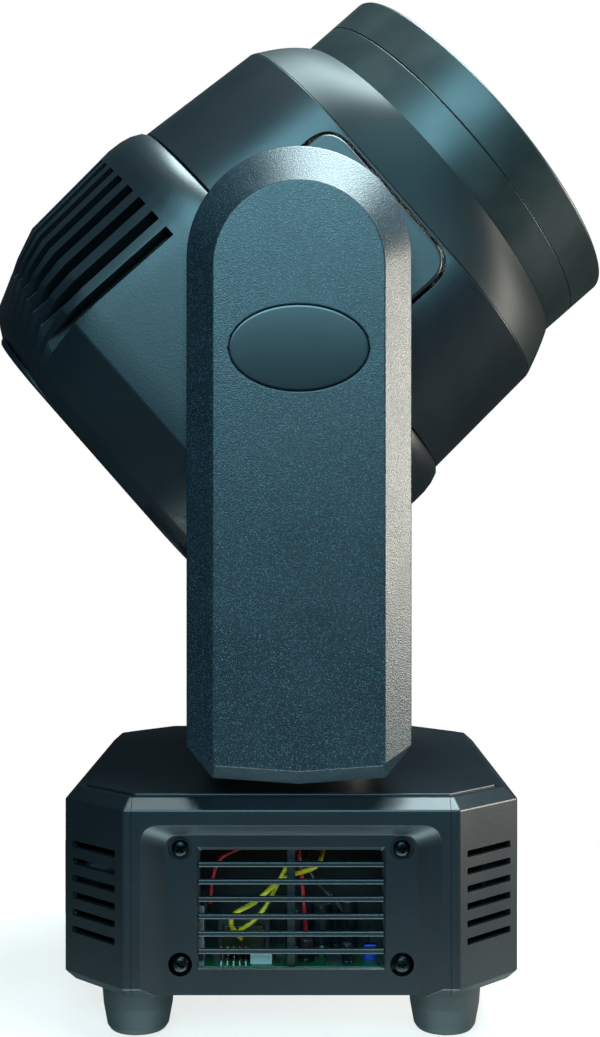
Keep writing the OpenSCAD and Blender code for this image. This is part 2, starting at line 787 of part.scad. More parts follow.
// Outline of a side pad, seen along the tilt axis; it runs back under the rear cap
module pad_outline(grow) {
    r = 12;
    back = body_back - 30;
    translate([0, (pad_front + back) / 2])
        rounded(pad_half + grow, (pad_front - back) / 2 + grow, r + grow);
}

module head_half() {
    difference() {
        body_solid(0);
        translate([0, 0, -1]) body_solid(wall);
        translate([0, 0, 1]) body_solid(wall);
        left_and_right() along_y(head_w / 2 - 8, head_w / 2 + 8) pad_outline(pad_gap);
        translate([0, -head_w, -head_h]) cube([head_h, 2 * head_w, 2 * head_h]);
    }
}

module head_shell_upper() color("#1e2d33") at_head() head_half();
module head_shell_lower() color("#1e2d33") at_head() mirror([1, 0, 0]) head_half();

// Flat pads that the arms join, each held by its cheek of the frame
module side_pads() color("#1e2d33") at_head() left_and_right() difference() {
    intersection() {
        union() {
            along_y(head_w / 2 - 3, pad_out) pad_outline(0);
            along_y(cheek_y0 + cheek_t, head_w / 2 - 3) pad_outline(-8);
        }
        translate([-head_h, 0, body_back]) cube([2 * head_h, head_w, head_h]);
    }
    along_y(cheek_y0, pad_out + 1) circle(tilt_shaft_r + 2);
}

module front_collar() color("#1c2a30") at_head() difference() {
    hull() {
        section(front_half, head_w / 2 - 2, head_corner_r - 2, collar_back);
        section(front_half - 2.2, hood_r + 1, hood_r - 13, collar_back + 12.8);
        section(hood_r + 1.2, hood_r + 0.5, hood_r + 0.5, hood_root - EPS);
    }
    hull() {
        section(front_half - wall, head_w / 2 - 2 - wall, head_corner_r - 2 - wall, collar_back - EPS);
        section(hood_r - hood_wall, hood_r - hood_wall, hood_r - hood_wall, hood_root - 3);
    }
    translate([0, 0, collar_back]) cylinder(r = hood_r - hood_wall, h = hood_root - collar_back + 1);
}

module hood_ring(z0, z1) {
    translate([0, 0, z0]) difference() {
        tube(hood_r, hood_r - hood_wall, z1 - z0);
        rotate_extrude() translate([hood_r, 0]) rotate(45) square(SEAM, center = true);
    }
}

module hood_ring_rear() color("#1a2226") at_head() hood_ring(hood_root, hood_seam);
module hood_ring_front() color("#1a2226") at_head() hood_ring(hood_seam, hood_front);

module lens_places() {
    children();
    for (i = [0:lens_n - 1]) rotate(i * 360 / lens_n) translate([lens_ring, 0, 0]) children();
}

module lens_plate() color("#101416") at_head() difference() {
    translate([0, 0, lens_front - 6]) cylinder(r = hood_r - hood_wall, h = 3);
    translate([0, 0, lens_front - 7]) lens_places() cylinder(r = lens_r, h = 5);
}

// Seven solid lenses, each a cone with a domed front
module lens_array() color("#b8d0dc") at_head() lens_places() rotate_extrude() difference() {
    union() {
        polygon([
            [0, lens_back], [7, lens_back], [lens_r, lens_front - 8], [lens_r, lens_front - 3], [0, lens_front - 3]
        ]);
        intersection() {
            translate([0, lens_front - 53.5]) circle(55);
            translate([0, lens_front - 4]) square([lens_r, 20]);
        }
    }
    translate([-lens_r * 2, 0]) square([lens_r * 2, hood_front * 2]);
}

module led_board() color("#e8e8e0") at_head() {
    translate([0, 0, sink_z1]) cylinder(r = hood_r - 14, h = board_t);
    lens_places() translate([-4, -4, led_z - EPS]) cube([8, 8, lens_back - led_z + EPS]);
}

module heatsink() color("silver") at_head() difference() {
    union() {
        translate([0, 0, sink_z1 - sink_base]) cylinder(r = hood_r - 14, h = sink_base);
        for (i = [-6:6]) translate([i * 9 - 1, -sqrt(62 * 62 - i * i * 81), sink_z0])
            cube([2, 2 * sqrt(62 * 62 - i * i * 81), sink_z1 - sink_base - sink_z0 + EPS]);
    }
}

module head_frame() color("silver") at_head() {
    difference() {
        left_and_right() {
            translate([-30, cheek_y0, fan_z1]) cube([60, cheek_t, sink_z1 - sink_base - fan_z1]);
            translate([-30, 63, sink_z1 - sink_base - 3]) cube([60, cheek_y0 - 63 + EPS, 3]);
            translate([-30, fan_half, fan_z1 - 3]) cube([60, cheek_y0 + cheek_t - fan_half, 3 + EPS]);
        }
        left_and_right() along_y(cheek_y0 - 1, cheek_y0 + cheek_t + 1) circle(tilt_shaft_r);
    }
}

module tilt_shafts() color("gainsboro") at_head() left_and_right() difference() {
    union() {
        along_y(cheek_y0 - 4, cheek_y0) circle(tilt_shaft_r + 6);
        along_y(cheek_y0 - EPS, tilt_drive_y + belt_w + 1) circle(tilt_shaft_r);
    }
    along_y(cheek_y0 - 5, tilt_drive_y + belt_w + 2) circle(tilt_bore_r);
}

module tilt_pulley() color("#d8d8d0")
    translate([0, tilt_drive_y, tilt_z]) rotate([-90, 0, 0]) pulley(tilt_teeth, tilt_shaft_r);

// Square fan housing with a rear spider that carries the rotor on a pin
module fan_frame() color("#15191b") at_head() translate([0, 0, fan_z0]) {
    linear_extrude(fan_t) difference() {
        rounded(fan_half, fan_half, 5);
        circle(fan_bore);
        for (sx = [-1, 1], sy = [-1, 1]) translate([sx, sy] * (fan_half - 4.5)) circle(2);
    }
    cylinder(r = fan_hub_r, h = 3);
    for (a = [45:90:315]) rotate(a) translate([fan_hub_r - 2, -2, 0]) cube([fan_bore - fan_hub_r + 3, 4, 3]);
    cylinder(r = fan_pin_r, h = 14);
}

module fan_rotor() color("#22282c") at_head() translate([0, 0, fan_z0 + 4]) difference() {
    union() {
        cylinder(r = fan_hub_r, h = fan_t - 8);
        for (i = [0:6]) rotate(i * 360 / 7) translate([fan_hub_r - 1, 0, (fan_t - 8) / 2]) rotate([38, 0, 0])
            translate([0, -11, -1]) cube([fan_bore - fan_hub_r - 4, 22, 2]);
    }
    translate([0, 0, -1]) cylinder(r = fan_pin_r + FIT, h = 13);
}

module cap_solid(inset, shift = 0) {
    hull() for (s = CAP)
        section(s[0] - inset, s[1] - inset, min(cap_corner_r, s[1] - 6) - inset, s[2] + shift);
}

// Slots at the four rounded corners of the rear cap, parallel to the head axis
module louver_slots() {
    for (mx = [0, 1], my = [0, 1]) mirror([mx, 0, 0]) mirror([0, my, 0])
        for (i = [0:louver_n - 1]) translate([cap_arc_x, cap_arc_y, louver_back])
            rotate(90 - 7 - i * louver_step)
                translate([cap_corner_r - louver_deep, -louver_w / 2, 0])
                    cube([louver_deep + 8, louver_w, louver_front - louver_back]);
}

module rear_cap() color("#1d2b31") at_head() difference() {
    cap_solid(0);
    difference() {
        cap_solid(wall, wall + 1);
        // deep ribs between the louver slots, at the four rounded corners
        for (mx = [0, 1], my = [0, 1]) mirror([mx, 0, 0]) mirror([0, my, 0]) difference() {
            translate([cap_arc_x, cap_arc_y, louver_back - 3]) cube([head_h, head_w, louver_front - louver_back + 6]);
            translate([cap_arc_x, cap_arc_y, louver_back - 4])
                cylinder(r = cap_corner_r - louver_deep, h = louver_front - louver_back + 8);
        }
    }
    louver_slots();
    left_and_right() along_y(cheek_y0, head_w) circle(tilt_shaft_r + 2);
    translate([0, 0, -cap_back - 1]) linear_extrude(20) rounded(head_h / 2 - 40, head_w / 2 - 38, 30);
    translate([0, 0, -cap_back - 1]) linear_extrude(1 + plate_sunk)
        rounded(head_h / 2 - 25 + FIT, head_w / 2 - 24 + FIT, 38 + FIT);
    rear_screw_places() translate([0, 0, -1]) cylinder(r = SCREW_R, h = 12);
}

module rear_screw_places()
    for (sx = [-1, 1], sy = [-1, 1])
        translate([sx * (head_h / 2 - 43), sy * (head_w / 2 - 44.5), -plate_back]) children();

module rear_plate() color("#1a262b") at_head() difference() {
    hull() {
        section(head_h / 2 - 26, head_w / 2 - 25, 37, -plate_back);
        section(head_h / 2 - 25, head_w / 2 - 24, 38, -plate_back + 1);
        section(head_h / 2 - 25, head_w / 2 - 24, 38, plate_sunk - cap_back - EPS);
    }
    for (i = [-6:6]) translate([i * 8 - 2, -34, -plate_back - 1]) cube([4, 68, 6]);
    rear_screw_places() translate([0, 0, -1]) cylinder(r = SCREW_R, h = 8);
    rear_screw_places() translate([0, 0, -EPS]) cylinder(r1 = SCREW_HEAD_R + FIT, r2 = SCREW_R + FIT, h = flat_head_h);
}

module rear_screws() color("#101418") at_head()
    rear_screw_places() difference() {
        union() {
            cylinder(r1 = SCREW_HEAD_R, r2 = SCREW_R, h = flat_head_h);
            cylinder(r = SCREW_R, h = 7);
        }
        for (a = [0, 90]) rotate(a) translate([-2, -0.4, -1]) cube([4, 0.8, 2]);
    }

on_base() base_floor();
on_base() base_shell_front();
on_base() base_shell_rear();
on_base() mirror([0, 1, 0]) vent_panel();  // vent_panel_right
on_base() vent_panel();  // vent_panel_left
on_base() vent_panel_screws();
on_base() base_top_plate();
on_base() chassis_bridge();
pan_tube();
pan_pulley();
pan_bearing_inner();
on_base() base_feet();
on_base() power_supply_board();
on_base() power_supply_parts();
on_base() control_board();
on_base() wire_loom();
on_base() display_window();
on_base() display_module();
on_base() button_at(button_y[0], button_z[1]);  // button_menu
on_base() button_at(button_y[1], button_z[1]);  // button_up
on_base() button_at(button_y[1], button_z[0]);  // button_down
on_base() button_at(button_y[0], button_z[0]);  // button_enter
on_base() power_inlet();
on_base() fuse_cap();
on_base() signal_input_socket();
on_base() signal_output_socket();
yoke_frame();
bridge_cover();
arm_outer_cover_right();
arm_outer_cover_left();
arm_inner_cover_right();
arm_inner_cover_left();
arm_badges();
arm_cover_screws();
pan_bearing_outer();
pan_motor();
pan_pinion();
pan_belt();
tilt_motor();
tilt_pinion();
tilt_belt();
tilt_bearings();
head_shell_upper();
head_shell_lower();
side_pads();
front_collar();
hood_ring_rear();
hood_ring_front();
lens_plate();
lens_array();
led_board();
heatsink();
head_frame();
tilt_shafts();
tilt_pulley();
fan_frame();
fan_rotor();
rear_cap();
rear_plate();
rear_screws();
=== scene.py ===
"""Looks of a moving head light: octagonal base, two-armed yoke and a tilting head.

Lengths are in millimetres, in the frame of the part: the origin lies on the ground
under the pan axis, +X is the front and +Z is up. Meshes are made in metres.
"""

import json
import logging
import math
import random
from collections.abc import Callable, Iterable, Sequence
from dataclasses import dataclass
from enum import Enum

import bmesh
import bpy
from mathutils import Matrix, Vector


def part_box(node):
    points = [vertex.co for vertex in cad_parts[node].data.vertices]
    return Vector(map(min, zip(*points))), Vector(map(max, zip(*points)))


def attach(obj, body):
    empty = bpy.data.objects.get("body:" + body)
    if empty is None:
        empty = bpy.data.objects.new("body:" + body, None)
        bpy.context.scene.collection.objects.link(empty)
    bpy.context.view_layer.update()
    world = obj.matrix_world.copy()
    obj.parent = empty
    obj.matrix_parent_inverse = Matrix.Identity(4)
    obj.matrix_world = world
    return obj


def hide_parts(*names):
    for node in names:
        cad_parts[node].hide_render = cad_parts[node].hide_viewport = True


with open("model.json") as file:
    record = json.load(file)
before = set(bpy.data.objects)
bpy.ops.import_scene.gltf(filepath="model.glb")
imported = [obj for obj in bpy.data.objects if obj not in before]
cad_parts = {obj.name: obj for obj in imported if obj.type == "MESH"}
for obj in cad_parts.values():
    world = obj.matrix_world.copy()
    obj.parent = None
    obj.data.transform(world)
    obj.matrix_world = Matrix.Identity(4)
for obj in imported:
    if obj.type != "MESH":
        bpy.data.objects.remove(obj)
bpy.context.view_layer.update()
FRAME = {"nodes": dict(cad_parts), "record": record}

Point = tuple[float, float]
Ring = list[Vector]

MM = 0.001
QUARTER = math.pi / 2
UP = Vector((0, 0, 1))
EDGE_STEPS = 4
NORMAL_WEIGHT = 60
SEED = 7
LOG = logging.getLogger("moving_head")
JOINTS = {joint["name"]: joint for joint in FRAME["record"]["behaviour"]["joints"]}
SLOTS = {row["node"]: row.get("material_slot") for row in FRAME["record"]["subparts"]}
TILT_Z = JOINTS["tilt"]["pos_m"][2] / MM
REST_ELEVATION = 41.3
HEAD = Matrix.Translation((0, 0, TILT_Z)) @ Matrix.Rotation(
    math.radians(90 - REST_ELEVATION), 4, "Y"
)


# ---------------------------------------------------------------- plane shapes


def fillet(points: Sequence[Point], radii: Sequence[float] | float, steps: int = 4,
           closed: bool = True) -> list[Point]:
    """Rounds the corners of a path, with the same number of points at every corner.

    Args:
        points: The corners, in order.
        radii: Radius of each corner, or one radius for all of them.
        steps: Number of segments in each rounded corner.
        closed: Whether the path returns to its first corner.

    Returns:
        The points of the rounded path.
    """
    count = len(points)
    sizes = [radii] * count if isinstance(radii, (int, float)) else list(radii)
    path: list[Point] = []
    for i, corner in enumerate(points):
        if not closed and i in (0, count - 1):
            path.append(tuple(corner))
            continue
        here = Vector(corner)
        back = Vector(points[i - 1]) - here
        on = Vector(points[(i + 1) % count]) - here
        half = back.angle(on) / 2
        reach = sizes[i] / max(math.tan(half), 1e-6)
        reach = min(reach, back.length * 0.49, on.length * 0.49)
        start, end = here + back.normalized() * reach, here + on.normalized() * reach
        for k in range(steps + 1):
            t = k / steps
            blend = start * (1 - t) ** 2 + here * (2 * t * (1 - t)) + end * t * t
            path.append((blend.x, blend.y))
    return path


def rounded_box(half_x: float, half_y: float, radius: float, steps: int = 8) -> list[Point]:
    """Outline of a rectangle with round corners.

    Args:
        half_x: Half its size along the first axis.
        half_y: Half its size along the second axis.
        radius: Radius of its corners.
        steps: Number of segments in each corner.

    Returns:
        The outline's points, anticlockwise.
    """
    outline: list[Point] = []
    for turn, (sx, sy) in enumerate(((1, 1), (-1, 1), (-1, -1), (1, -1))):
        cx, cy = sx * (half_x - radius), sy * (half_y - radius)
        for k in range(steps + 1):
            angle = QUARTER * (turn + k / steps)
            outline.append((cx + radius * math.cos(angle), cy + radius * math.sin(angle)))
    return outline


def steps_between(start: Point, end: Point, count: int) -> list[Point]:
    """Equal steps along a line, from its start up to but without its end."""
    return [(start[0] + (end[0] - start[0]) * k / count, start[1] + (end[1] - start[1]) * k / count)
            for k in range(count)]


def polar_box(half_x: float, half_y: float, radius: float, count: int) -> list[Point]:
    """Outline of a rounded rectangle at equal angles about its centre.

    Args:
        half_x: Half its size along the first axis.
        half_y: Half its size along the second axis.
        radius: Radius of its corners.
        count: Number of points.

    Returns:
        The outline's points, so that two such outlines can be joined point to point.
    """
    cx, cy = half_x - radius, half_y - radius
    outline: list[Point] = []
    for i in range(count):
        angle = 2 * math.pi * (i + 0.5) / count
        dx, dy = math.cos(angle), math.sin(angle)
        reach = min(half_x / max(abs(dx), 1e-9), half_y / max(abs(dy), 1e-9))
        if abs(dx) * reach > cx and abs(dy) * reach > cy:
            along = abs(dx) * cx + abs(dy) * cy
            reach = along + math.sqrt(max(0.0, along**2 - cx**2 - cy**2 + radius**2))
        outline.append((dx * reach, dy * reach))
    return outline


def circle(radius: float, count: int = 64) -> list[Point]:
    """Points of a circle round the origin."""
    turns = [2 * math.pi * i / count for i in range(count)]
    return [(radius * math.cos(a), radius * math.sin(a)) for a in turns]


def ring_at(outline: Iterable[Point], z: float) -> Ring:
    """Lifts a plane outline to a height."""
    return [Vector((x, y, z)) for x, y in outline]


def turned(at: Sequence[float], angle: float, axis: str) -> Matrix:
    """Placement at a point, turned about an axis by an angle in radians."""
    return Matrix.Translation(at) @ Matrix.Rotation(angle, 4, axis)


def new_object(name: str, data: bpy.types.ID) -> bpy.types.Object:
    """Puts a mesh, curve, light or camera in the scene as an object at the origin."""
    obj = bpy.data.objects.new(name, data)
    bpy.context.scene.collection.objects.link(obj)
    return obj


def mesh_from(name: str, corners: Iterable[Vector], faces: Iterable[Sequence[int]],
              place: Matrix | None = None) -> bpy.types.Object:
    """Makes an object from corners in millimetres.

    Args:
        name: Name of the object.
        corners: Its corners, in millimetres.
        faces: Its faces, as indices of corners.
        place: A placement in millimetres for the corners.

    Returns:
        The object, with its doubles merged and its faces pointing outwards.
    """
    place = place or Matrix.Identity(4)
    mesh = bpy.data.meshes.new(name)
    mesh.from_pydata([(place @ Vector(c)) * MM for c in corners], [], [tuple(f) for f in faces])
    work = bmesh.new()
    work.from_mesh(mesh)
    bmesh.ops.remove_doubles(work, verts=work.verts, dist=1e-6)
    bmesh.ops.dissolve_degenerate(work, edges=work.edges, dist=1e-6)
    bmesh.ops.recalc_face_normals(work, faces=work.faces)
    work.to_mesh(mesh)
    work.free()
    return new_object(name, mesh)


def loft(name: str, rings: Sequence[Ring], ring_closed: bool = True, path_closed: bool = False,
         caps: bool = True, place: Matrix | None = None) -> bpy.types.Object:
    """Joins rings of the same number of points into one skin.

    Args:
        name: Name of the object.
        rings: The rings, in order.
        ring_closed: Whether each ring returns to its first point.
        path_closed: Whether the last ring joins the first one.
        caps: Whether the first and last rings are filled.
        place: A placement in millimetres.

    Returns:
        The lofted object.
    """
    count = len(rings[0])
    faces: list[Sequence[int]] = []
    for i in range(len(rings) if path_closed else len(rings) - 1):
        for k in range(count if ring_closed else count - 1):
            here, beyond = i * count, (i + 1) % len(rings) * count
            on = (k + 1) % count
            faces.append((here + k, here + on, beyond + on, beyond + k))
    if caps and not path_closed:
        faces.append(tuple(range(count - 1, -1, -1)))
        last = (len(rings) - 1) * count
        faces.append(tuple(range(last, last + count)))
    return mesh_from(name, [p for ring in rings for p in ring], faces, place)


def lathe(name: str, profile: Sequence[Point], count: int = 64, place: Matrix | None = None,
          closed: bool = True) -> bpy.types.Object:
    """Turns a profile of (radius, height) round the Z axis.

    Args:
        name: Name of the object.
        profile: Points of the profile.
        count: Number of steps in a full turn.
        place: A placement in millimetres.
        closed: Whether the profile returns to its first point.

    Returns:
        The turned object.
    """
    turns = [2 * math.pi * i / count for i in range(count)]
    rings = [[Vector((r * math.cos(a), r * math.sin(a), z)) for r, z in profile] for a in turns]
    return loft(name, rings, ring_closed=closed, path_closed=True, place=place)


def prism(name: str, outline: Sequence[Point], low: float, high: float,
          place: Matrix | None = None) -> bpy.types.Object:
    """Extrudes an outline between two heights."""
    return loft(name, [ring_at(outline, z) for z in (low, high)], place=place)


def slab(name: str, outline: Callable[[float], Sequence[Point]], low: float, high: float,
         edge: float, place: Matrix | None = None) -> bpy.types.Object:
    """Extrudes an outline with a rounded edge at the top.

    Args:
        name: Name of the object.
        outline: Gives the outline drawn in by an inset.
        low: Height of the foot.
        high: Height of the top.
        edge: Radius of the top edge.
        place: A placement in millimetres.

    Returns:
        The slab.
    """
    profile = [(0.0, low)]
    for k in range(EDGE_STEPS + 1):
        angle = QUARTER * k / EDGE_STEPS
        profile.append((edge * (1 - math.cos(angle)), high - edge * (1 - math.sin(angle))))
    return loft(name, [ring_at(outline(inset), z) for inset, z in profile], place=place)


def remove(obj: bpy.types.Object) -> None:
    """Deletes a helper object."""
    bpy.data.objects.remove(obj, do_unlink=True)


def settle(obj: bpy.types.Object) -> bpy.types.Object:
    """Turns an object with modifiers into a plain mesh, with the modifiers removed."""
    bpy.context.view_layer.update()
    shape = obj.evaluated_get(bpy.context.evaluated_depsgraph_get())
    mesh = bpy.data.meshes.new_from_object(shape)
    obj.modifiers.clear()
    old, obj.data = obj.data, mesh
    if old.users == 0:
        bpy.data.meshes.remove(old)
    mesh.name = obj.name
    return obj


def cut(obj: bpy.types.Object, *cutters: bpy.types.Object) -> bpy.types.Object:
    """Takes the cutters away from an object and deletes them."""
    for cutter in cutters:
        step = obj.modifiers.new("cut", "BOOLEAN")
        step.operation, step.solver, step.object = "DIFFERENCE", "EXACT", cutter
        settle(obj)
        remove(cutter)
    return obj


def join(name: str, parts: Sequence[bpy.types.Object]) -> bpy.types.Object:
    """Makes one object from several, with the materials of each."""
    work = bmesh.new()
    materials: list[bpy.types.Material] = []
    for part in parts:
        first = len(work.faces)
        work.from_mesh(part.data)
        work.faces.ensure_lookup_table()
        slots = [m for m in part.data.materials if m]
        for face in work.faces[first:]:
            if slots:
                material = slots[min(face.material_index, len(slots) - 1)]
                if material not in materials:
                    materials.append(material)
                face.material_index = materials.index(material)
    mesh = bpy.data.meshes.new(name)
    work.to_mesh(mesh)
    work.free()
    for material in materials:
        mesh.materials.append(material)
    for part in parts:
        remove(part)
    return new_object(name, mesh)


def soften(obj: bpy.types.Object, width: float = 0.5, limit: float = 40.0,
           segments: int = 2) -> bpy.types.Object:
    """Rounds an object's sharp edges and shades it smooth.

    Args:
        obj: The object.
        width: Width of the rounding, in millimetres. Nought leaves the edges.
        limit: Edges sharper than this many degrees are rounded.
        segments: Segments across each rounded edge.

    Returns:
        The object, with plain mesh data.
    """
    if width:
        bevel = obj.modifiers.new("round", "BEVEL")
        bevel.width, bevel.segments = width * MM, segments
        bevel.limit_method, bevel.angle_limit = "ANGLE", math.radians(limit)
        bevel.use_clamp_overlap = True
        bevel.miter_outer = "MITER_ARC"
        settle(obj)
    mark_smooth(obj)
    return weighted(obj)


def weighted(obj: bpy.types.Object) -> bpy.types.Object:
    """Gives an object's large faces the say in its shading."""
    step = obj.modifiers.new("weigh", "WEIGHTED_NORMAL")
    step.keep_sharp, step.weight = True, NORMAL_WEIGHT
    return settle(obj)


def mark_smooth(obj: bpy.types.Object, limit: float = 38.0) -> None:
    """Shades faces smooth and marks edges sharper than a limit in degrees."""
    work = bmesh.new()
    work.from_mesh(obj.data)
    for face in work.faces:
        face.smooth = True
    for edge in work.edges:
        angle = edge.calc_face_angle(0.0) if len(edge.link_faces) == 2 else 0.0
        edge.smooth = angle < math.radians(limit)
    work.to_mesh(obj.data)
    work.free()


def refined(node: str, name: str, width: float) -> bpy.types.Object:
    """Copies a node of the frame, merges its triangles into flat faces and rounds its edges.

    Args:
        node: The node to copy.
        name: Name of the new piece.
        width: Width of the rounding, in millimetres.

    Returns:
        The new piece.
    """
    work = bmesh.new()
    work.from_mesh(FRAME["nodes"][node].data)
    bmesh.ops.remove_doubles(work, verts=work.verts, dist=2e-6)
    flat = math.radians(0.6)
    bmesh.ops.dissolve_limit(work, angle_limit=flat, verts=work.verts, edges=work.edges)
    mesh = bpy.data.meshes.new(name)
    work.to_mesh(mesh)
    work.free()
    return soften(new_object(name, mesh), width, 35)


def mirrored(obj: bpy.types.Object, name: str) -> bpy.types.Object:
    """A copy of an object on the other side of the XZ plane."""
    mesh = obj.data.copy()
    mesh.transform(Matrix.Scale(-1, 4, (0, 1, 0)))
    mesh.flip_normals()
    return weighted(new_object(name, mesh))


# ---------------------------------------------------------------- finishes


def linear(hex_colour: str) -> tuple[float, float, float, float]:
    """Turns an sRGB hex colour into linear values, with nothing let through."""
    values = [int(hex_colour[i:i + 2], 16) / 255 for i in (0, 2, 4)]
    scene = [v / 12.92 if v <= 0.04045 else ((v + 0.055) / 1.055) ** 2.4 for v in values]
    return scene[0], scene[1], scene[2], 1.0


def add_node(tree: bpy.types.NodeTree, kind: str, settings: dict | None = None,
             links: dict | None = None, **attributes: object) -> bpy.types.Node:
    """Adds a node to a tree.

    Args:
        tree: The tree.
        kind: Type name of the node.
        settings: Values of its input sockets, by name or number.
        links: Sockets that feed its inputs, by name or number.
        attributes: Other properties of the node.

    Returns:
        The node.
    """
    node = tree.nodes.new(kind)
    for key, value in attributes.items():
        setattr(node, key, value)
    for key, value in (settings or {}).items():
        node.inputs[key].default_value = value
    for key, socket in (links or {}).items():
        tree.links.new(socket, node.inputs[key])
    return node


def noise(tree: bpy.types.NodeTree, size: float, detail: float,
          spot: bpy.types.NodeSocket) -> bpy.types.NodeSocket:
    """Adds a noise pattern.

    Args:
        tree: The tree.
        size: Size of the pattern, in millimetres.
        detail: Number of finer layers in it.
        spot: The place where it is read.

    Returns:
        The value of the pattern.
    """
    return add_node(tree, "ShaderNodeTexNoise", {"Scale": 1 / (size * MM), "Detail": detail},
                    {"Vector": spot}).outputs["Fac"]


class Texture(Enum):
    """How a surface was made, which sets its pattern."""

    ERODED = "spark-eroded mould"
    SATIN = "satin mould"
    BRUSHED = "brushed"
    CAST = "cast"
    CLEAR = "polished clear"


@dataclass(frozen=True)
class Finish:
    """A material's finish.

    Attributes:
        name: Common name of the material and how its surface was made.
        colour: Main sRGB colour.
        second: Colour of its variation.
        roughness: Roughness of the surface.
        spread: How far the roughness varies.
        texture: How the surface was made.
        grain: Size of the fine pattern, in millimetres.
        relief: Depth of the fine pattern, in millimetres.
        mottle: Size of the cloudy variation, in millimetres.
        metallic: 1 for a bare metal.
        ior: Index of refraction; None keeps the default.
        coat: Weight of a clear coat.
        transmission: Share of light let through.
        specular: Specular level.
        glint_fleck: Colour of the scattered bright flecks, painted glints where the grain would
            catch light; None leaves them out.
    """

    name: str
    colour: str
    second: str
    roughness: float
    spread: float = 0.08
    texture: Texture = Texture.SATIN
    grain: float = 0.9
    relief: float = 0.02
    mottle: float = 28.0
    metallic: float = 0.0
    ior: float | None = None
    coat: float = 0.0
    transmission: float = 0.0
    specular: float = 0.5
    glint_fleck: str | None = None

    def build(self) -> bpy.types.Material:
        """Builds the material once and returns it."""
        if self.name in bpy.data.materials:
            return bpy.data.materials[self.name]
        material = bpy.data.materials.new(self.name)
        material.use_nodes = True
        tree = material.node_tree
        tree.nodes.clear()
        spot = add_node(tree, "ShaderNodeTexCoord").outputs["Object"]
        stretch = (0.06 if self.texture is Texture.BRUSHED else 1.0, 1.0, 1.0)
        along = add_node(tree, "ShaderNodeMapping", {"Scale": stretch}, {"Vector": spot})
        fine = noise(tree, self.grain, 2.0, along.outputs[0])
        cloud = noise(tree, self.mottle, 4.0, spot)
        blend = add_node(tree, "ShaderNodeMix", {6: linear(self.colour), 7: linear(self.second)},
                         {0: cloud}, data_type="RGBA")
        rough = add_node(
            tree, "ShaderNodeMapRange",
            {"To Min": self.roughness - self.spread, "To Max": self.roughness + self.spread},
            {"Value": cloud},
        )
        settings = {
            "Metallic": self.metallic, "Coat Weight": self.coat,
            "Transmission Weight": self.transmission, "Specular IOR Level": self.specular,
        }
        if self.ior is not None:
            settings["IOR"] = self.ior
        tone = blend.outputs[2]
        # Painted glints: bright specks of the fleck colour are mixed into the base colour, standing
        # in for light caught by the grain.
        if self.glint_fleck:
            glint_dots = noise(tree, self.grain * 0.9, 0.0, spot)
            glint_mask = add_node(tree, "ShaderNodeMapRange", {"From Min": 0.60, "From Max": 0.78},
                              {"Value": glint_dots})
            tone = add_node(tree, "ShaderNodeMix", {7: linear(self.glint_fleck)},
                            {0: glint_mask.outputs[0], 6: tone}, data_type="RGBA").outputs[2]
        links = {"Base Color": tone, "Roughness": rough.outputs[0]}
        if self.texture is Texture.ERODED:
            pits = add_node(tree, "ShaderNodeTexVoronoi", {"Scale": 1 / (self.grain * 1.3 * MM)},
                            {"Vector": spot})
            fine = add_node(tree, "ShaderNodeMath", {1: 0.5},
                            {0: fine, 2: pits.outputs["Distance"]},
                            operation="MULTIPLY_ADD").outputs[0]
        if self.relief:
            bump = add_node(tree, "ShaderNodeBump",
                            {"Strength": 1.0, "Distance": self.relief * MM}, {"Height": fine})
            links["Normal"] = bump.outputs[0]
        shader = add_node(tree, "ShaderNodeBsdfPrincipled", settings, links)
        add_node(tree, "ShaderNodeOutputMaterial", None, {"Surface": shader.outputs[0]})
        return material


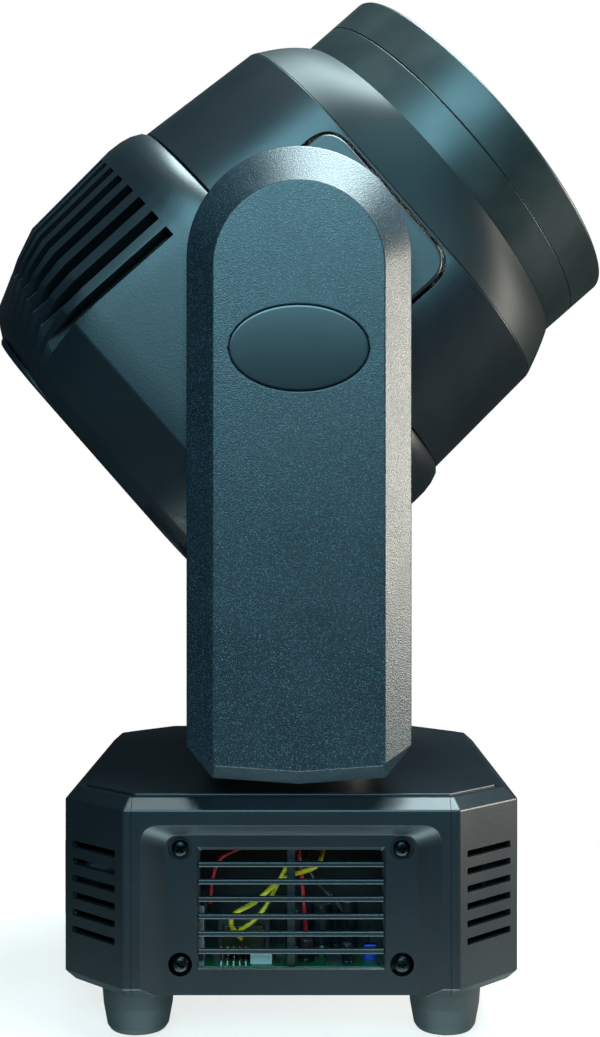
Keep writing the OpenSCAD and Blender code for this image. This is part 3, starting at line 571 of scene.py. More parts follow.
class Finishes:
    """The finishes of the light."""

    # Black ABS from a spark-eroded mould: fine matt grain that catches light as specks; these
    # specks are painted into its colour as bright glint flecks.
    ARM = Finish("abs_black_spark_eroded", "10181c", "19232a", 0.37, 0.06, Texture.ERODED,
                 grain=0.45, relief=0.06, glint_fleck="3f5760")
    # Black ABS from a finer mould: satin, with soft clear reflections.
    SHELL = Finish("abs_black_satin", "0c1317", "11191e", 0.38, 0.05, Texture.ERODED,
                   grain=0.8, relief=0.016)
    # Black ABS hood, a little duller and blotchy.
    HOOD = Finish("abs_black_mottled", "0f1516", "25302f", 0.38, 0.10, relief=0.010,
                  mottle=26.0)
    # The same plastic with a duller, blasted face.
    COLLAR = Finish("abs_black_blasted", "0f1517", "161f21", 0.50, 0.05, grain=0.7,
                    relief=0.010, specular=0.24)
    # Sheet steel in near black instead of its zinc plating: painted shade for the unlit inside of
    # the base.
    SHADE_DARKENED = Finish("steel_painted_black", "0d0f11", "15181a", 0.55, 0.06, grain=0.8, relief=0.008)
    # Smooth moulded badge blank.
    BADGE = Finish("abs_black_smooth", "0c1418", "10191e", 0.23, 0.03, grain=0.8, relief=0.006)
    # Zinc-plated sheet steel.
    ZINC = Finish("zinc_plated_steel", "a9adb0", "8f9498", 0.34, 0.08, Texture.BRUSHED,
                  grain=0.5, relief=0.006, metallic=1.0)
    # Ground bearing steel.
    STEEL = Finish("bearing_steel_ground", "c4c7ca", "b3b7bb", 0.22, 0.05, Texture.BRUSHED,
                   grain=0.3, relief=0.003, metallic=1.0)
    # Black oxide screws: dark metal with a soft sheen.
    SCREW = Finish("steel_black_oxide", "2a2e31", "1d2023", 0.32, 0.08, grain=0.5, relief=0.004,
                   metallic=1.0)
    # Extruded aluminium.
    ALUMINIUM = Finish("aluminium_extruded", "c3c7ca", "aab0b4", 0.36, 0.08, Texture.BRUSHED,
                       grain=0.6, relief=0.01, metallic=1.0)
    # Painted motor laminations.
    MOTOR = Finish("motor_enamel_black", "17191b", "212426", 0.38, 0.06, Texture.CAST,
                   grain=0.7, relief=0.01)
    # Turned brass pinion.
    BRASS = Finish("brass_turned", "c9a24e", "b98f3c", 0.24, 0.05, Texture.BRUSHED, grain=0.3,
                   relief=0.003, metallic=1.0)
    # Moulded rubber foot: dull, slightly dusty.
    RUBBER = Finish("rubber_moulded", "1a1f20", "232929", 0.62, 0.08, Texture.CAST, grain=1.1,
                    relief=0.02)
    # Neoprene belt.
    BELT = Finish("neoprene_belt", "141414", "1d1d1d", 0.7, 0.06, Texture.CAST, grain=0.8,
                  relief=0.02)
    # Glass-fibre circuit board under green solder mask.
    BOARD = Finish("circuit_board_green", "16623a", "0f4f2e", 0.32, 0.08, grain=1.4, relief=0.01,
                   mottle=5.0)
    # Moulded component cases.
    PARTS = Finish("component_cases", "34383b", "24272a", 0.4, 0.1, grain=0.6, relief=0.01)
    # Socket plastic, glossier than the shell.
    SOCKET = Finish("nylon_black_moulded", "15181a", "1d2124", 0.34, 0.06, grain=0.6, relief=0.01)
    # Smoked window of the display.
    WINDOW = Finish("pmma_smoked", "0a1013", "0d1418", 0.06, 0.02, grain=3.0, relief=0.0, ior=1.49,
                    coat=0.6)
    # Soft-touch button caps.
    BUTTON = Finish("silicone_button", "3a464c", "465259", 0.5, 0.06, Texture.CAST, grain=0.8,
                    relief=0.01)
    # Clear moulded lens.
    LENS = Finish("pmma_clear_moulded", "f4fbff", "eef8ff", 0.04, 0.02, Texture.CLEAR, grain=3.0,
                  relief=0.002, ior=1.49, transmission=1.0)
    # White ceramic of the LED packages.
    LED = Finish("led_ceramic_white", "e9e6d2", "f2e9b8", 0.45, 0.06, grain=0.8, relief=0.01)
    # Glass-filled nylon of the fan.
    FAN = Finish("pbt_black_fan", "1a1e20", "23282b", 0.42, 0.06, grain=0.7, relief=0.012)


SLOT_FINISH = {
    "shell_plastic": Finishes.SHELL, "arm_plastic": Finishes.ARM, "hood_plastic": Finishes.HOOD,
    "badge_plastic": Finishes.BADGE, "zinc_steel": Finishes.ZINC, "bearing_steel": Finishes.STEEL,
    "black_screw": Finishes.SCREW, "aluminium": Finishes.ALUMINIUM, "motor_black": Finishes.MOTOR,
    "pinion_brass": Finishes.BRASS, "foot_rubber": Finishes.RUBBER, "belt_rubber": Finishes.BELT,
    "circuit_board": Finishes.BOARD, "components": Finishes.PARTS,
    "wire_insulation": Finishes.PARTS, "socket_plastic": Finishes.SOCKET,
    "display_glass": Finishes.WINDOW, "display_body": Finishes.PARTS,
    "button_plastic": Finishes.BUTTON, "lens_acrylic": Finishes.LENS, "led_white": Finishes.LED,
    "fan_plastic": Finishes.FAN,
}


def dress(obj: bpy.types.Object, finish: Finish) -> bpy.types.Object:
    """Gives an object one finish."""
    obj.data.materials.clear()
    obj.data.materials.append(finish.build())
    return obj


def place(obj: bpy.types.Object, body: str, slot: str, *nodes: str,
          finish: Finish | None = None) -> bpy.types.Object:
    """Finishes a piece: gives it its material, puts it on its body and hides the nodes it stands
    for.

    Args:
        obj: The piece.
        body: The body it rides on.
        slot: The material slot it takes its finish from.
        nodes: The nodes of the frame that it stands for.
        finish: Its finish, if it isn't the slot's own one; it keeps its own materials if it has
            some already.

    Returns:
        The piece.
    """
    if not obj.data.materials or finish:
        dress(obj, finish or SLOT_FINISH[slot])
    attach(obj, body)
    if nodes:
        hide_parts(*nodes)
    LOG.info("%s: %d faces on %s", obj.name, len(obj.data.polygons), body)
    return obj


# ---------------------------------------------------------------- repeated pieces


def new_tree(name: str, inputs: dict[str, str]) -> tuple[bpy.types.NodeTree, dict]:
    """Starts a geometry tree with a geometry input and other named inputs.

    Args:
        name: Name of the tree.
        inputs: The kind of each other input, by name.

    Returns:
        The tree and the sockets that its inputs come from, by name.
    """
    tree = bpy.data.node_groups.new(name, "GeometryNodeTree")
    tree.interface.new_socket("Geometry", in_out="OUTPUT", socket_type="NodeSocketGeometry")
    for label, kind in {"Geometry": "Geometry", **inputs}.items():
        tree.interface.new_socket(label, in_out="INPUT", socket_type=f"NodeSocket{kind}")
    return tree, add_node(tree, "NodeGroupInput").outputs


def end_tree(tree: bpy.types.NodeTree, links: dict[str, bpy.types.NodeSocket],
             material: bpy.types.NodeSocket) -> bpy.types.NodeTree:
    """Ends a geometry tree with coloured copies of a piece on points.

    Args:
        tree: The tree.
        links: Sockets that feed the copies.
        material: The material of the copies.

    Returns:
        The finished tree.
    """
    copies = add_node(tree, "GeometryNodeInstanceOnPoints", None, links)
    real = add_node(tree, "GeometryNodeRealizeInstances", None, {0: copies.outputs[0]})
    coloured = add_node(tree, "GeometryNodeSetMaterial", None,
                        {"Geometry": real.outputs[0], "Material": material})
    add_node(tree, "NodeGroupOutput", None, {0: coloured.outputs[0]})
    return tree


def run_tree(obj: bpy.types.Object, tree: bpy.types.NodeTree,
             values: dict[str, object]) -> bpy.types.Object:
    """Runs a geometry tree on an object and keeps the result as its plain mesh.

    Args:
        obj: The object.
        tree: The geometry tree.
        values: Values of its named inputs.

    Returns:
        The object.
    """
    step = obj.modifiers.new("nodes", "NODES")
    step.node_group = tree
    names = {item.name: item.identifier for item in tree.interface.items_tree
             if item.in_out == "INPUT"}
    for name, value in values.items():
        step[names[name]] = value
    return settle(obj)


class Scatter:
    """Geometry tree that puts a copy of one piece at every point of a mesh."""

    NAME = "piece_on_points"

    @classmethod
    def tree(cls) -> bpy.types.NodeTree:
        """Builds the tree once and returns it."""
        if cls.NAME in bpy.data.node_groups:
            return bpy.data.node_groups[cls.NAME]
        tree, inputs = new_tree(
            cls.NAME, {"Piece": "Object", "Turn": "Float", "Material": "Material"})
        axis = add_node(tree, "GeometryNodeInputNamedAttribute", {"Name": "axis"},
                        data_type="FLOAT_VECTOR").outputs["Attribute"]
        facing = add_node(tree, "FunctionNodeAlignRotationToVector", None, {"Vector": axis})
        spin = add_node(tree, "FunctionNodeRandomValue", {2: 0.0, "Seed": SEED},
                        {3: inputs["Turn"]}, data_type="FLOAT")
        about = add_node(tree, "FunctionNodeAxisAngleToRotation", {"Axis": (0, 0, 1)},
                         {"Angle": spin.outputs[1]})
        way = add_node(
            tree, "FunctionNodeRotateRotation", None,
            {"Rotation": facing.outputs[0], "Rotate By": about.outputs[0]}, rotation_space="LOCAL",
        )
        piece = add_node(tree, "GeometryNodeObjectInfo", None, {"Object": inputs["Piece"]})
        links = {"Points": inputs["Geometry"], "Instance": piece.outputs["Geometry"],
                 "Rotation": way.outputs[0]}
        return end_tree(tree, links, inputs["Material"])

    @classmethod
    def copies(cls, name: str, piece: bpy.types.Object,
               spots: Sequence[tuple[Vector, Vector]], finish: Finish,
               turn: float = 0.0) -> bpy.types.Object:
        """Puts copies of a piece at spots and makes them one mesh.

        Args:
            name: Name of the result.
            piece: The piece to copy; it is deleted afterwards.
            spots: Each copy's place, in millimetres, and the direction of its own Z axis.
            finish: The finish of the copies.
            turn: Each copy is turned about its own axis by up to this angle, in radians.

        Returns:
            The copies as one object.
        """
        mesh = bpy.data.meshes.new(name)
        mesh.from_pydata([spot * MM for spot, _ in spots], [], [])
        axis = mesh.attributes.new("axis", "FLOAT_VECTOR", "POINT")
        for i, (_, direction) in enumerate(spots):
            axis.data[i].vector = direction
        obj = new_object(name, mesh)
        values = {"Piece": piece, "Turn": turn, "Material": finish.build()}
        run_tree(obj, cls.tree(), values)
        remove(piece)
        return obj


class Row:
    """Geometry tree that repeats a rounded bar along a line."""

    NAME = "row_of_bars"

    @classmethod
    def tree(cls) -> bpy.types.NodeTree:
        """Builds the tree once and returns it."""
        if cls.NAME in bpy.data.node_groups:
            return bpy.data.node_groups[cls.NAME]
        tree, inputs = new_tree(
            cls.NAME, {"Count": "Int", "Start": "Vector", "Pitch": "Vector", "Length": "Vector",
                       "Width": "Float", "Height": "Float", "Corner": "Float",
                       "Material": "Material"})
        profile = add_node(tree, "GeometryNodeCurvePrimitiveQuadrilateral", None,
                           {"Width": inputs["Width"], "Height": inputs["Height"]})
        rounded = add_node(tree, "GeometryNodeFilletCurve", {"Count": 4},
                           {"Curve": profile.outputs[0], "Radius": inputs["Corner"]}, mode="POLY")
        end = add_node(tree, "ShaderNodeVectorMath", None,
                       {0: inputs["Start"], 1: inputs["Length"]})
        line = add_node(tree, "GeometryNodeCurvePrimitiveLine", None,
                        {"Start": inputs["Start"], "End": end.outputs[0]})
        bar = add_node(tree, "GeometryNodeCurveToMesh", {"Fill Caps": True},
                       {"Curve": line.outputs[0], "Profile Curve": rounded.outputs[0]})
        points = add_node(tree, "GeometryNodeMeshLine", None,
                          {"Count": inputs["Count"], "Offset": inputs["Pitch"]}, mode="OFFSET")
        links = {"Points": points.outputs[0], "Instance": bar.outputs[0]}
        return end_tree(tree, links, inputs["Material"])

    @classmethod
    def bars(cls, name: str, count: int, start: Vector, pitch: Vector, length: Vector,
             size: Point, finish: Finish, corner: float = 0.8) -> bpy.types.Object:
        """Makes a row of rounded bars.

        Args:
            name: Name of the row.
            count: Number of bars.
            start: Where the first bar starts, in millimetres.
            pitch: From one bar to the next.
            length: From the start of a bar to its end.
            size: Width and height of a bar's section.
            finish: The finish of the bars.
            corner: Radius of the section's corners.

        Returns:
            The row as one object.
        """
        obj = new_object(name, bpy.data.meshes.new(name))
        values = {"Count": count, "Start": start * MM, "Pitch": pitch * MM, "Length": length * MM,
                  "Width": size[0] * MM, "Height": size[1] * MM, "Corner": corner * MM,
                  "Material": finish.build()}
        run_tree(obj, cls.tree(), values)
        return soften(obj, 0.0)


def pan_screw(radius: float = 3.5, height: float = 2.2) -> bpy.types.Object:
    """Pan head of a cross-recess screw, with its top along Z and its seat at the origin."""
    profile = [(0.0, -0.6), (radius * 0.9, -0.6), (radius * 0.97, 0.0), (radius, 0.5),
               (radius * 0.97, height * 0.45), (radius * 0.86, height * 0.72),
               (radius * 0.62, height * 0.92), (radius * 0.3, height * 0.99), (0.0, height)]
    head = lathe("screw_head", profile, 28, closed=False)
    half = 0.42
    rings = [ring_at(((-w, -half), (w, -half), (w, half), (-w, half)), z)
             for w, z in ((radius * 0.16, height - 1.5), (radius * 0.62, height + 0.3))]
    cut(head, *(loft("blade", rings, place=Matrix.Rotation(turn, 4, "Z")) for turn in (0, QUARTER)))
    return soften(head, 0.12, 45, 1)


# ---------------------------------------------------------------- base


@dataclass(frozen=True)
class Wire:
    """An insulated wire held in the base.

    Attributes:
        name: Its name.
        points: The points that it passes, in millimetres.
        finish: Its insulation.
        radius: Its radius in millimetres.
    """

    name: str
    points: tuple[tuple[float, float, float], ...]
    finish: Finish
    radius: float = 0.8

    def build(self) -> bpy.types.Object:
        """Builds the wire as a smooth tube."""
        curve = bpy.data.curves.new(self.name, "CURVE")
        curve.dimensions, curve.resolution_u = "3D", 8
        curve.bevel_depth, curve.bevel_resolution, curve.use_fill_caps = self.radius * MM, 3, True
        spline = curve.splines.new("NURBS")
        spline.points.add(len(self.points) - 1)
        for point, spot in zip(spline.points, self.points):
            point.co = (*(Vector(spot) * MM), 1)
        spline.use_endpoint_u, spline.order_u = True, 4
        holder = new_object(self.name, curve)
        bpy.context.view_layer.update()
        shape = holder.evaluated_get(bpy.context.evaluated_depsgraph_get())
        mesh = bpy.data.meshes.new_from_object(shape)
        remove(holder)
        obj = dress(new_object(self.name, mesh), self.finish)
        mark_smooth(obj)
        return obj


class Electronics:
    """Power supply board with its parts, and the wires that run from it to the pan tube."""

    YELLOW = Finish("pvc_yellow", "e8d21a", "d2b810", 0.38, 0.05, grain=0.8, relief=0.004)
    RED = Finish("pvc_red", "c81e28", "a81620", 0.38, 0.05, grain=0.8, relief=0.004)
    TAPE = Finish("polyester_tape_yellow", "2e2c14", "262410", 0.34, 0.06, grain=1.2, relief=0.006)
    BLUE = Finish("ceramic_blue", "2050c8", "1a40a0", 0.30, 0.05, grain=0.8, relief=0.004)
    WHITE = Finish("nylon_white", "dfe2df", "c9ccc8", 0.40, 0.06, grain=0.8, relief=0.006)
    SLEEVE = Finish("capacitor_sleeve", "14181c", "1d2328", 0.30, 0.05, grain=0.8, relief=0.004)

    def __init__(self, base: "Base") -> None:
        """Takes the heights and depths of the base."""
        self.floor = base.foot_h + 3.0
        self.top = self.floor + 5.6
        self.near = -(base.width / 2 - base.panel_depth - 8)

    def capacitor(self, x: float, y: float, radius: float, height: float) -> list[bpy.types.Object]:
        """A sleeved electrolytic capacitor with its crimped rim and bare top."""
        turn = Matrix.Translation((x, y, self.top))
        profile = [(0, 0), (radius, 0), (radius, height * 0.12), (radius - 0.35, height * 0.17),
                   (radius, height * 0.22), (radius, height), (0, height)]
        profile = fillet(profile, [0, 0.4, 0.2, 0.2, 0.2, 0.6, 0], 3, closed=False)
        can = lathe("can", profile, 32, turn, closed=False)
        lid = prism("lid", circle(radius - 0.7, 32), height, height + 0.15, turn)
        return [dress(can, self.SLEEVE), dress(lid, Finishes.ALUMINIUM)]

    def block(self, x: float, y: float, size: tuple[float, float, float], finish: Finish,
              corner: float = 0.6) -> bpy.types.Object:
        """A moulded block standing on the board, with rounded edges."""
        turn = Matrix.Translation((x + size[0] / 2, y + size[1] / 2, 0))
        body = slab("block", lambda i: rounded_box(size[0] / 2 - i, size[1] / 2 - i, corner, 3),
                    self.top, self.top + size[2], corner * 0.6, turn)
        return dress(body, finish)

    def parts(self) -> bpy.types.Object:
        """All the parts on the board."""
        y = self.near
        pieces = [
            self.block(-33, y + 10, (26, 20, 4), Finishes.PARTS),
            self.block(-29, y + 10, (18, 20, 14), self.TAPE, 1.2),
            self.block(-31, y + 12, (22, 16, 18), Finishes.PARTS, 0.8),
            self.block(30, y + 9, (5.4, 2.6, 6.4), self.BLUE, 1.2),
            self.block(-39, y + 3, (3, 27, 24), Finishes.ALUMINIUM, 0.3),
            self.block(-17, y + 3, (9, 4, 4), self.WHITE, 0.5),
            self.block(33, y + 20, (9, 11, 9), Finishes.PARTS, 0.5),
            self.block(14, y + 3, (7, 4, 5), Finishes.PARTS, 0.5),
        ]
        for i, (radius, height) in enumerate(((4.5, 18), (4.5, 20), (4.0, 22))):
            pieces += self.capacitor(2 + 11 * i, y + 22, radius, height)
        pieces += self.capacitor(6, y + 8, 3.2, 9) + self.capacitor(23, y + 5, 2.6, 8)
        rng = random.Random(SEED)
        chip = slab("chip", lambda i: rounded_box(1.5 - i, 0.7 - i, 0.3, 2), 0, 0.9, 0.2)
        spots = [(Vector((rng.uniform(-12, 38), y + rng.uniform(2, 32), self.top)), UP)
                 for _ in range(34)]
        pieces.append(Scatter.copies("chips", chip, spots, Finishes.PARTS, 3.1))
        pin = slab("pin", lambda i: rounded_box(0.4 - i, 0.4 - i, 0.1, 1), 0, 7, 0.15)
        spots = [(Vector((-29 + 2.54 * i, y + 4, self.top)), UP) for i in range(5)]
        pieces.append(Scatter.copies("pins", pin, spots, Finishes.STEEL))
        for x in (-36, 40):
            for dy in (4, 30):
                turn = Matrix.Translation((x, y + dy, self.floor))
                pieces.append(dress(prism("post", circle(2.5, 6), 0, 4, turn), Finishes.BRASS))
        return join("power_supply_components", pieces)

    def build(self) -> None:
        """Builds and dresses the electronics."""
        turn = Matrix.Translation((2, self.near + 17, 0))
        board = slab("power_supply_board_laminate", lambda i: rounded_box(42 - i, 17 - i, 1.5, 4),
                     self.floor + 4, self.top, 0.2, turn)
        on_base(soften(board, 0.0), "base", "circuit_board", "power_supply_board")
        on_base(soften(self.parts(), 0.0), "base", "components", "power_supply_parts")
        y = self.near
        wires = [
            Wire("yellow_1", ((-23, y + 6, 41), (-26, y + 2, 46), (-24, y - 1, 52),
                              (-16, y - 1, 54), (-8, y, 62), (0, y + 1, 67), (9, y + 4, 67.5),
                              (14, y + 12, 70), (14, y + 22, 84)), self.YELLOW, 1.0),
            Wire("yellow_2", ((-21, y + 8, 38), (-24, y + 3, 42), (-18, y + 1, 45),
                              (-12, y + 4, 50), (-6, y + 8, 60), (2, y + 12, 76),
                              (10, y + 22, 88)), self.YELLOW, 0.9),
            Wire("red_1", ((-34, y + 12, 52), (-33, y + 6, 70), (-26, y + 3, 76), (-16, y + 4, 78),
                           (-4, y + 10, 82), (8, y + 22, 88)), self.RED, 0.9),
            Wire("red_2", ((6, y + 10, 40), (5, y + 5, 58), (4, y + 2, 70), (2, y + 3, 78),
                           (6, y + 14, 86), (10, y + 24, 90)), self.RED, 0.9),
            Wire("black_1", ((24, y + 12, 42), (20, y + 4, 56), (10, y + 3, 60), (4, y + 8, 72),
                             (8, y + 20, 88)), Finishes.SOCKET, 0.9),
        ]
        loom = join("wire_loom_insulated", [wire.build() for wire in wires])
        on_base(loom, "base", "wire_insulation", "wire_loom")


def base_middle() -> float:
    """Place of the middle of the base along X: the pan axis stands a little in front of it."""
    low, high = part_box("base_floor")
    return (low[0] + high[0]) / 2 / MM


def on_base(obj: bpy.types.Object, body: str, slot: str, *nodes: str,
            finish: Finish | None = None) -> bpy.types.Object:
    """Moves a piece's mesh from the base's own middle to its place, and finishes it."""
    obj.data.transform(Matrix.Translation((base_middle() * MM, 0, 0)))
    return place(obj, body, slot, *nodes, finish=finish)


@dataclass
class Base:
    """Octagonal base with two vent panels, controls, sockets and feet.

    Attributes:
        depth: Size along X.
        width: Size along Y.
        chamfer: Size of the corner chamfers.
        foot_h: Height of the feet.
        height: Height of the shell.
        lip: Inset and height of the bottom bevel.
        bevel_in: Inset of the top bevel.
        bevel_h: Height of the top bevel.
        rim: Width of the flat rim round the top plate.
        wall: Thickness of the walls.
        seam: Half the distance between the two seams of a vent panel.
        panel_depth: Depth of a vent panel.
        recess: Depth of its sunken face.
        slat_count: Number of slats in a vent.
        slot_count: Number of slots in each chamfer.
        slot_half: Half the length and half the height of such a slot.
        slot_pitch: Distance from one slot to the next.
        slot_drop: Distance of the highest one below the top of the wall.
        foot_r: Radius of a foot at its top.
        key_bore: Radius of a button's hole.
    """

    depth: float = 189.2
    width: float = 218.0
    chamfer: float = 27.0
    foot_h: float = 20.5
    height: float = 80.3
    lip: float = 4.0
    bevel_in: float = 5.0
    bevel_h: float = 4.5
    rim: float = 3.5
    wall: float = 2.5
    seam: float = 64.2
    panel_depth: float = 8.6
    recess: float = 6.0
    slat_count: int = 6
    slot_count: int = 6
    slot_half: Point = (14.25, 1.4)
    slot_pitch: float = 7.08
    slot_drop: float = 18.2
    foot_r: float = 15.25
    key_bore: float = 5.3

    @property
    def rim_z(self) -> float:
        """Height of the rim above the ground."""
        return self.foot_h + self.height

    @property
    def wall_z(self) -> Point:
        """Lowest and highest point of the upright walls."""
        return self.foot_h + self.lip, self.rim_z - self.bevel_h

    @property
    def face_z(self) -> float:
        """Top of the sunken face of a vent panel."""
        return self.wall_z[1] - 11

    @property
    def vent(self) -> tuple[float, float, float]:
        """Half width, lowest and highest point of a vent opening."""
        return self.seam - 27.4, self.wall_z[0] + 7.8, self.face_z - 6.3

    def section(self, inner: float, floor: float) -> list[Point]:
        """Section of the shell wall, as (inset, height).

        Args:
            inner: Inset of the inner face of the wall.
            floor: Height that the inner face stops above the bottom.

        Returns:
            The section's points.
        """
        low, high = self.wall_z
        flat = self.bevel_in + self.rim
        corners = [(self.lip, self.foot_h), (0.0, low), (0.0, high), (self.bevel_in, self.rim_z),
                   (flat, self.rim_z), (flat, high - 1)]
        radii = [0.9, 1.3, 1.5, 1.0, 0.5, 0.3]
        if inner < flat:
            corners += [(inner, high - 1), (inner, low + 1)]
            radii += [0.3, 0.3]
        inside = self.lip + self.wall
        corners += [(inside, self.foot_h + floor), (inside, self.foot_h)]
        radii += [0.2, 0.5]
        return fillet(corners, radii, 3)

    def reach(self, inset: float) -> tuple[float, float, float]:
        """Half depth, half width and chamfer of the plan, drawn in by an inset."""
        chamfer = self.chamfer - inset * (2 - math.sqrt(2))
        return self.depth / 2 - inset, self.width / 2 - inset, chamfer

    def plan(self, inset: float) -> list[Point]:
        """Path of one end shell in plan, from one seam round the front to the other."""
        hx, hy, c = self.reach(inset)
        start = self.seam + 0.05
        corners = [(start, hy), (hx - c, hy), (hx, hy - c), (hx, c - hy), (hx - c, -hy),
                   (start, -hy)]
        return fillet(corners, 2.4, 5, closed=False)

    def octagon(self, inset: float) -> list[Point]:
        """Whole plan of the base, drawn in by an inset."""
        hx, hy, c = self.reach(inset)
        corners = [(hx, hy - c), (hx - c, hy), (c - hx, hy), (-hx, hy - c), (-hx, c - hy),
                   (c - hx, -hy), (hx - c, -hy), (hx, c - hy)]
        return fillet(corners, 2.4, 4)

    def end_shell(self, name: str, side: int) -> bpy.types.Object:
        """One end of the shell with its chamfer slots, before its other openings are cut.

        Args:
            name: Name of the piece.
            side: 1 for the front, -1 for the rear.

        Returns:
            The shell.
        """
        section = self.section(self.wall, 1.0)
        paths = [self.plan(inset) for inset, _ in section]
        rings = [[Vector((side * path[k][0], path[k][1], z))
                  for path, (_, z) in zip(paths, section)] for k in range(len(paths[0]))]
        shell = loft(name, rings)
        for sy in (-1, 1):
            cut(shell, self.slot_cutters(side, sy))
        tongues = []
        for sy in (-1, 1):
            x, y = side * self.seam, sy * (self.width / 2 - self.panel_depth + 0.8)
            outline = [(x + dx, y + sy * dy) for dx, dy in ((-3, 0), (3, 0), (3, -2), (-3, -2))]
            tongues.append(prism("tongue", outline, self.foot_h + 4, self.rim_z - 6))
        return join(name, [shell, *tongues])

    def slot_cutters(self, side: int, sy: int) -> bpy.types.Object:
        """The cutters for the slots of one chamfer, as one object."""
        middle = Vector((side * (self.depth - self.chamfer), sy * (self.width - self.chamfer))) / 2
        out = Vector((side, sy)).normalized()
        along = Vector((-out.y, out.x))
        parts = []
        for i in range(self.slot_count):
            z = self.wall_z[1] - self.slot_drop - i * self.slot_pitch
            rings = [[(middle + along * x + out * deep).to_3d() + Vector((0, 0, z + y))
                      for x, y in rounded_box(*self.slot_half, 0.5, 2)] for deep in (-6.0, 5.0)]
            parts.append(loft(f"slot_{i}", rings))
        return join("slots", parts)

    def panel(self, name: str) -> bpy.types.Object:
        """Vent panel of the -Y side, with its sunken face, opening and screw holes."""
        section = self.section(self.panel_depth, 3.0)
        edge = self.width / 2
        rings = [[Vector((x, inset - edge, z)) for inset, z in section]
                 for x in (self.seam - 0.05, 0.05 - self.seam)]
        panel = loft(name, rings)
        half, low, high = self.vent
        face, face_half = edge - self.recess, self.seam - 13.1
        rings = []
        for push, y in ((0.0, face), (1.0, edge), (2.0, edge + self.recess)):
            x, top = face_half + 9.5 * push, self.face_z + 5 * push
            ring = [(x, 0.0), (x, top), (-x, top), (-x, 0.0)]
            rings.append([Vector((px, -y, pz)) for px, pz in fillet(ring, 6 + 2 * push, 6)])
        cut(panel, loft("recess", rings))
        soften(panel, 0.9, 25, 3)
        rings = []
        for grow, y in ((0.0, edge - 12), (0.0, face - 1.5), (1.7, face + 0.2), (1.9, face + 1)):
            ring = [(half + grow, low - grow), (half + grow, high + grow),
                    (-half - grow, high + grow), (-half - grow, low - grow)]
            rings.append([Vector((px, -y, pz)) for px, pz in fillet(ring, 0.8, 3)])
        cut(panel, loft("opening", rings))
        holes = []
        for x, z in self.vent_screws():
            profile = [(0, -12), (1.9, -12), (1.9, 0), (4.85, 0), (4.85, 3), (0, 3)]
            spot = turned((x, 1.2 - face, z), QUARTER, "X")
            holes.append(lathe("hole", profile, 36, spot, closed=False))
        cut(panel, *holes)
        return soften(panel, 0.3, 50, 2)

    def vent_screws(self) -> list[Point]:
        """Places of the screws of a vent panel, as (x, z)."""
        x = self.seam - 19.3
        return [(sx * x, z) for sx in (-1, 1) for z in (self.wall_z[0] + 8.4, self.face_z - 5.5)]

    def slats(self, side: int) -> bpy.types.Object:
        """The slats of one vent and the bar behind them."""
        half, low, high = self.vent
        pitch = (high - low) / (self.slat_count + 0.64)
        y = side * (self.width / 2 - self.recess - 1.35)
        bars = Row.bars("slats", self.slat_count, Vector((-half - 0.6, y, high - 0.82 * pitch)),
                        Vector((0, 0, -pitch)), Vector((2 * half + 1.2, 0, 0)), (2.4, 2.3),
                        Finishes.SHELL, 0.7)
        bar = Row.bars("bar", 1, Vector((0, y - side * 1.3, low - 0.6)), Vector((0, 0, 1)),
                       Vector((0, 0, high - low + 1.2)), (3.4, 1.2), Finishes.SHELL, 0.3)
        return join("vent_slats_right" if side < 0 else "vent_slats_left", [bars, bar])

    def foot(self) -> bpy.types.Object:
        """One moulded foot, standing on the origin."""
        top, high = self.foot_r, self.foot_h
        corners = [(6.0, 0.0), (top - 4.0, 0.0), (top - 2.4, 2.4), (top - 0.8, 11.0), (top, high),
                   (2.4, high), (2.4, high - 5), (6.0, high - 5)]
        return lathe("foot", fillet(corners, [0.6, 2.2, 0.8, 3.0, 0.5, 0.2, 0.2, 0.2], 4), 56)

    def build(self) -> None:
        """Builds and dresses the base."""
        Electronics(self).build()
        # The chassis takes the near-black finish in place of its zinc slot: painted shade for the
        # dark inside of the base.
        bridge = refined("chassis_bridge", "chassis_bridge_folded", 0.3)
        place(bridge, "base", SLOTS["chassis_bridge"], "chassis_bridge", finish=Finishes.SHADE_DARKENED)
        corners = [(Vector((sx * self.seam, sy * (self.width / 2 - 29), 0)), UP)
                   for sx in (-1, 1) for sy in (-1, 1)]
        feet = Scatter.copies("base_feet_moulded", self.foot(), corners, Finishes.RUBBER)
        on_base(soften(feet, 0.0), "base", "foot_rubber", "base_feet")
        for side, label in ((-1, "right"), (1, "left")):
            panel = self.panel(f"vent_panel_{label}_moulded")
            if side > 0:
                flipped = mirrored(panel, "panel_flipped")
                remove(panel)
                panel = flipped
                panel.name = "vent_panel_left_moulded"
            on_base(panel, "base", "shell_plastic", f"vent_panel_{label}")
            on_base(self.slats(side), "base", "shell_plastic")
        face = self.width / 2 - self.recess - 1.2
        spots = [(Vector((x, side * face, z)), Vector((0, side, 0)))
                 for side in (-1, 1) for x, z in self.vent_screws()]
        screws = Scatter.copies("vent_screws_pan_head", pan_screw(), spots, Finishes.SCREW, 1.5)
        on_base(soften(screws, 0.0), "base", "black_screw", "vent_panel_screws")
        self.build_front()
        self.build_rear()
        edge = self.bevel_in + self.rim + 0.25
        plate = slab("base_top_plate_moulded", lambda i: self.octagon(edge + i),
                     self.rim_z - 2.5, self.rim_z + 0.8, 0.5)
        hole = Matrix.Translation((-base_middle(), 0, 0))
        cut(plate, prism("tube_hole", circle(23.6), 90, 110, hole))
        on_base(soften(plate, 0.0), "base", "shell_plastic", "base_top_plate")

